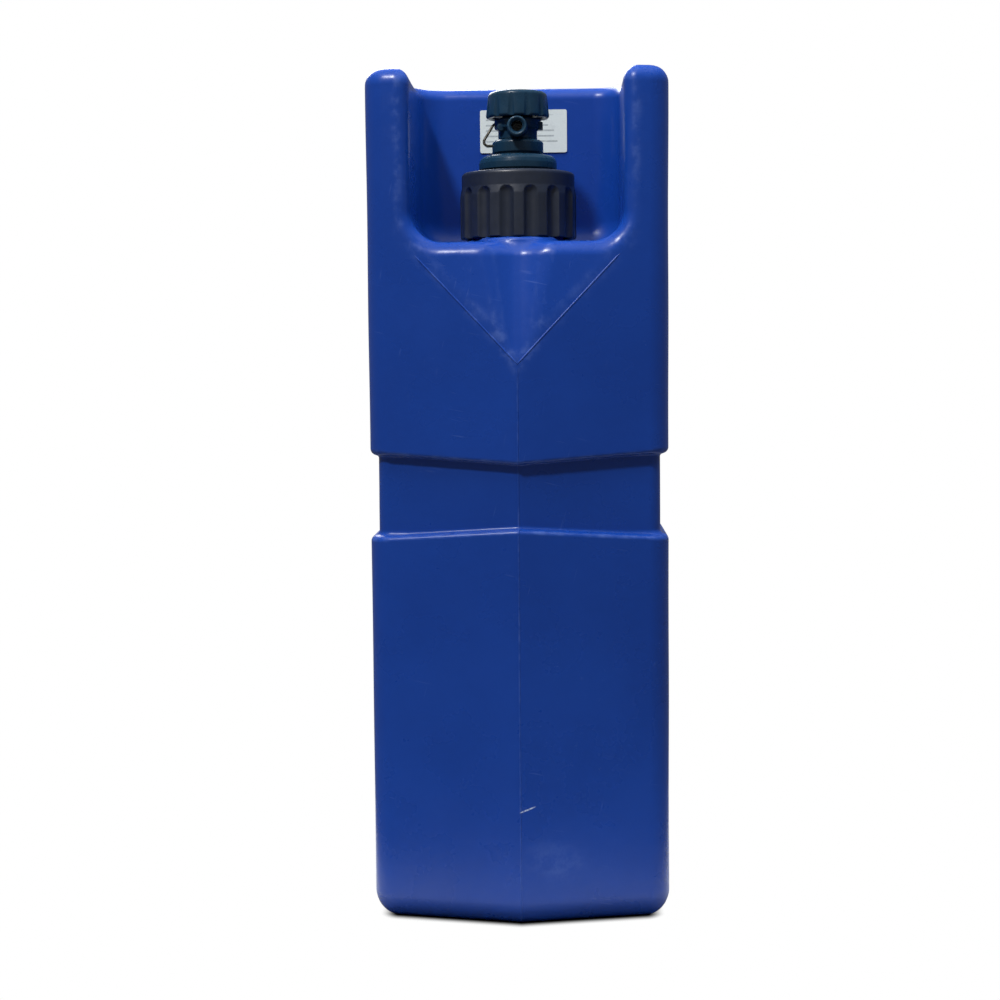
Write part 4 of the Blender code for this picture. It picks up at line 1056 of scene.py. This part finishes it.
FOOT_HALF_WIDTH, FOOT_HALF_LENGTH = 0.074, 0.154
CONTACT_NEAR, CONTACT_FAR, SHADE_REACH = 0.002, 0.012, 0.06
BOUNCE_REACH, BOUNCE_GLOW = 0.20, 0.30
FLOOR_RADIUS = 4
# The first colour is the painted contact shadow under the can, the second the pale floor
FLOOR_PAINTED_SHADOW, FLOOR_PALE = (0.02, 0.02, 0.025), (0.82, 0.82, 0.82)
CAMERA_PLACE = (0.0237, -1.1867, 0.3346)
CAMERA_HEADING = (-0.0334, 0.9962, -0.0809)
CAMERA_ROLL = math.radians(-0.485)
CAMERA_LENS, CAMERA_SENSOR = 64.24, 36.0


def pale_floor():
    """A pale floor that fades into the white surroundings, with a painted contact shadow where the can
    stands.
    """
    mesh = bpy.data.meshes.new("pale_floor")
    count = 64
    angles = [math.tau * n / count for n in range(count)]
    rim = [(FLOOR_RADIUS * math.cos(a), FLOOR_RADIUS * math.sin(a), 0.0) for a in angles]
    mesh.from_pydata(rim, [], [tuple(range(count))])
    net = Net("pale_floor", FLOOR_PALE, 1.0)
    new, link = net.node, net.tree.links.new
    place = new("SeparateXYZ")
    link(net.coords, place.inputs[0])

    # How far a point is from the can's foot, which is pointed at its ends
    x, y = (net.maths("ABSOLUTE", place.outputs[index]) for index in (0, 1))
    prow = net.maths("ADD", y, net.times(x, PROW_DEPTH / HALF_WIDTH))
    beside = net.most(net.maths("SUBTRACT", x, FOOT_HALF_WIDTH), 0.0)
    before = net.most(net.maths("SUBTRACT", prow, FOOT_HALF_LENGTH), 0.0)
    squares = [net.maths("POWER", side, 2.0) for side in (beside, before)]
    away = net.maths("SQRT", net.maths("ADD", *squares))

    # Painted contact shadow: dark where the can stands, and pale with a little glow around it
    shade = net.span(away, CONTACT_NEAR, SHADE_REACH)
    matt, glow, lit = new("BsdfDiffuse"), new("Emission"), new("AddShader")
    link(net.blend(shade, FLOOR_PAINTED_SHADOW, FLOOR_PALE), matt.inputs["Color"])
    link(net.times(shade, BOUNCE_GLOW), glow.inputs["Strength"])
    link(matt.outputs[0], lit.inputs[0])
    link(glow.outputs[0], lit.inputs[1])

    # The view sees only the painted contact shadow, and the rest of the floor only sends light back
    seen = new("LightPath").outputs["Is Camera Ray"]
    near = net.times(net.span(away, CONTACT_NEAR, CONTACT_FAR), seen)
    mix = new("MixShader")
    link(net.most(near, net.span(away, 0.0, BOUNCE_REACH)), mix.inputs[0])
    link(lit.outputs[0], mix.inputs[1])
    link(new("BsdfTransparent").outputs[0], mix.inputs[2])
    link(mix.outputs[0], net.tree.nodes["Material Output"].inputs["Surface"])
    net.tree.nodes.remove(net.shader)
    new_object("pale_floor", mesh, net.material)


def surroundings():
    """White as seen by the camera, and a dimmer pale grey as light."""
    world = bpy.data.worlds.new("surroundings")
    bpy.context.scene.world = world
    world.use_nodes = True
    tree = world.node_tree
    tree.nodes.clear()
    new, link = tree.nodes.new, tree.links.new
    out = new("ShaderNodeOutputWorld")
    mix = new("ShaderNodeMixShader")
    rays = new("ShaderNodeLightPath")
    link(rays.outputs["Is Camera Ray"], mix.inputs[0])
    for socket, colour, strength in ((1, (0.93, 0.96, 1.0, 1.0), 0.20),
                                     (2, (1.0, 1.0, 1.0, 1.0), 1.0)):
        background = new("ShaderNodeBackground")
        background.inputs["Color"].default_value = colour
        background.inputs["Strength"].default_value = strength
        link(background.outputs[0], mix.inputs[socket])
    link(mix.outputs[0], out.inputs["Surface"])


def lamp(name, place, target, size, energy, colour, gloss=True):
    """A round area lamp aimed at a target. Without gloss it isn't reflected in glossy surfaces."""
    data = bpy.data.lights.new(name, "AREA")
    data.shape = "DISK"
    data.size = size
    data.energy = energy
    data.color = colour
    light = bpy.data.objects.new(name, data)
    light.location = place
    light.visible_glossy = gloss
    light.rotation_euler = (Vector(target) - Vector(place)).to_track_quat("-Z", "Y").to_euler()
    bpy.context.scene.collection.objects.link(light)


def camera():
    data = bpy.data.cameras.new("camera")
    data.lens = CAMERA_LENS
    data.sensor_width = CAMERA_SENSOR
    view = bpy.data.objects.new("camera", data)
    turn = Vector(CAMERA_HEADING).normalized().to_track_quat("-Z", "Y").to_matrix().to_4x4()
    view.matrix_world = Matrix.Translation(CAMERA_PLACE) @ turn @ Matrix.Rotation(CAMERA_ROLL, 4, "Z")
    bpy.context.scene.collection.objects.link(view)
    bpy.context.scene.camera = view


pale_floor()
surroundings()
lamp("key", (-0.71, -1.33, 2.09), (0.0, -0.1, 0.28), 0.22, 42.0, (1.0, 0.985, 0.96))
lamp("overhead", (0.10, 0.15, 2.3), (0.0, -0.05, 0.3), 3.0, 128.0, (0.93, 0.98, 1.0), False)
lamp("back", (-0.6, 1.9, 1.6), (0.0, 0.1, 0.25), 1.2, 30.0, (1.0, 1.0, 1.0))
camera()
scene = bpy.context.scene
scene.view_settings.view_transform = "Standard"
scene.view_settings.look = "None"
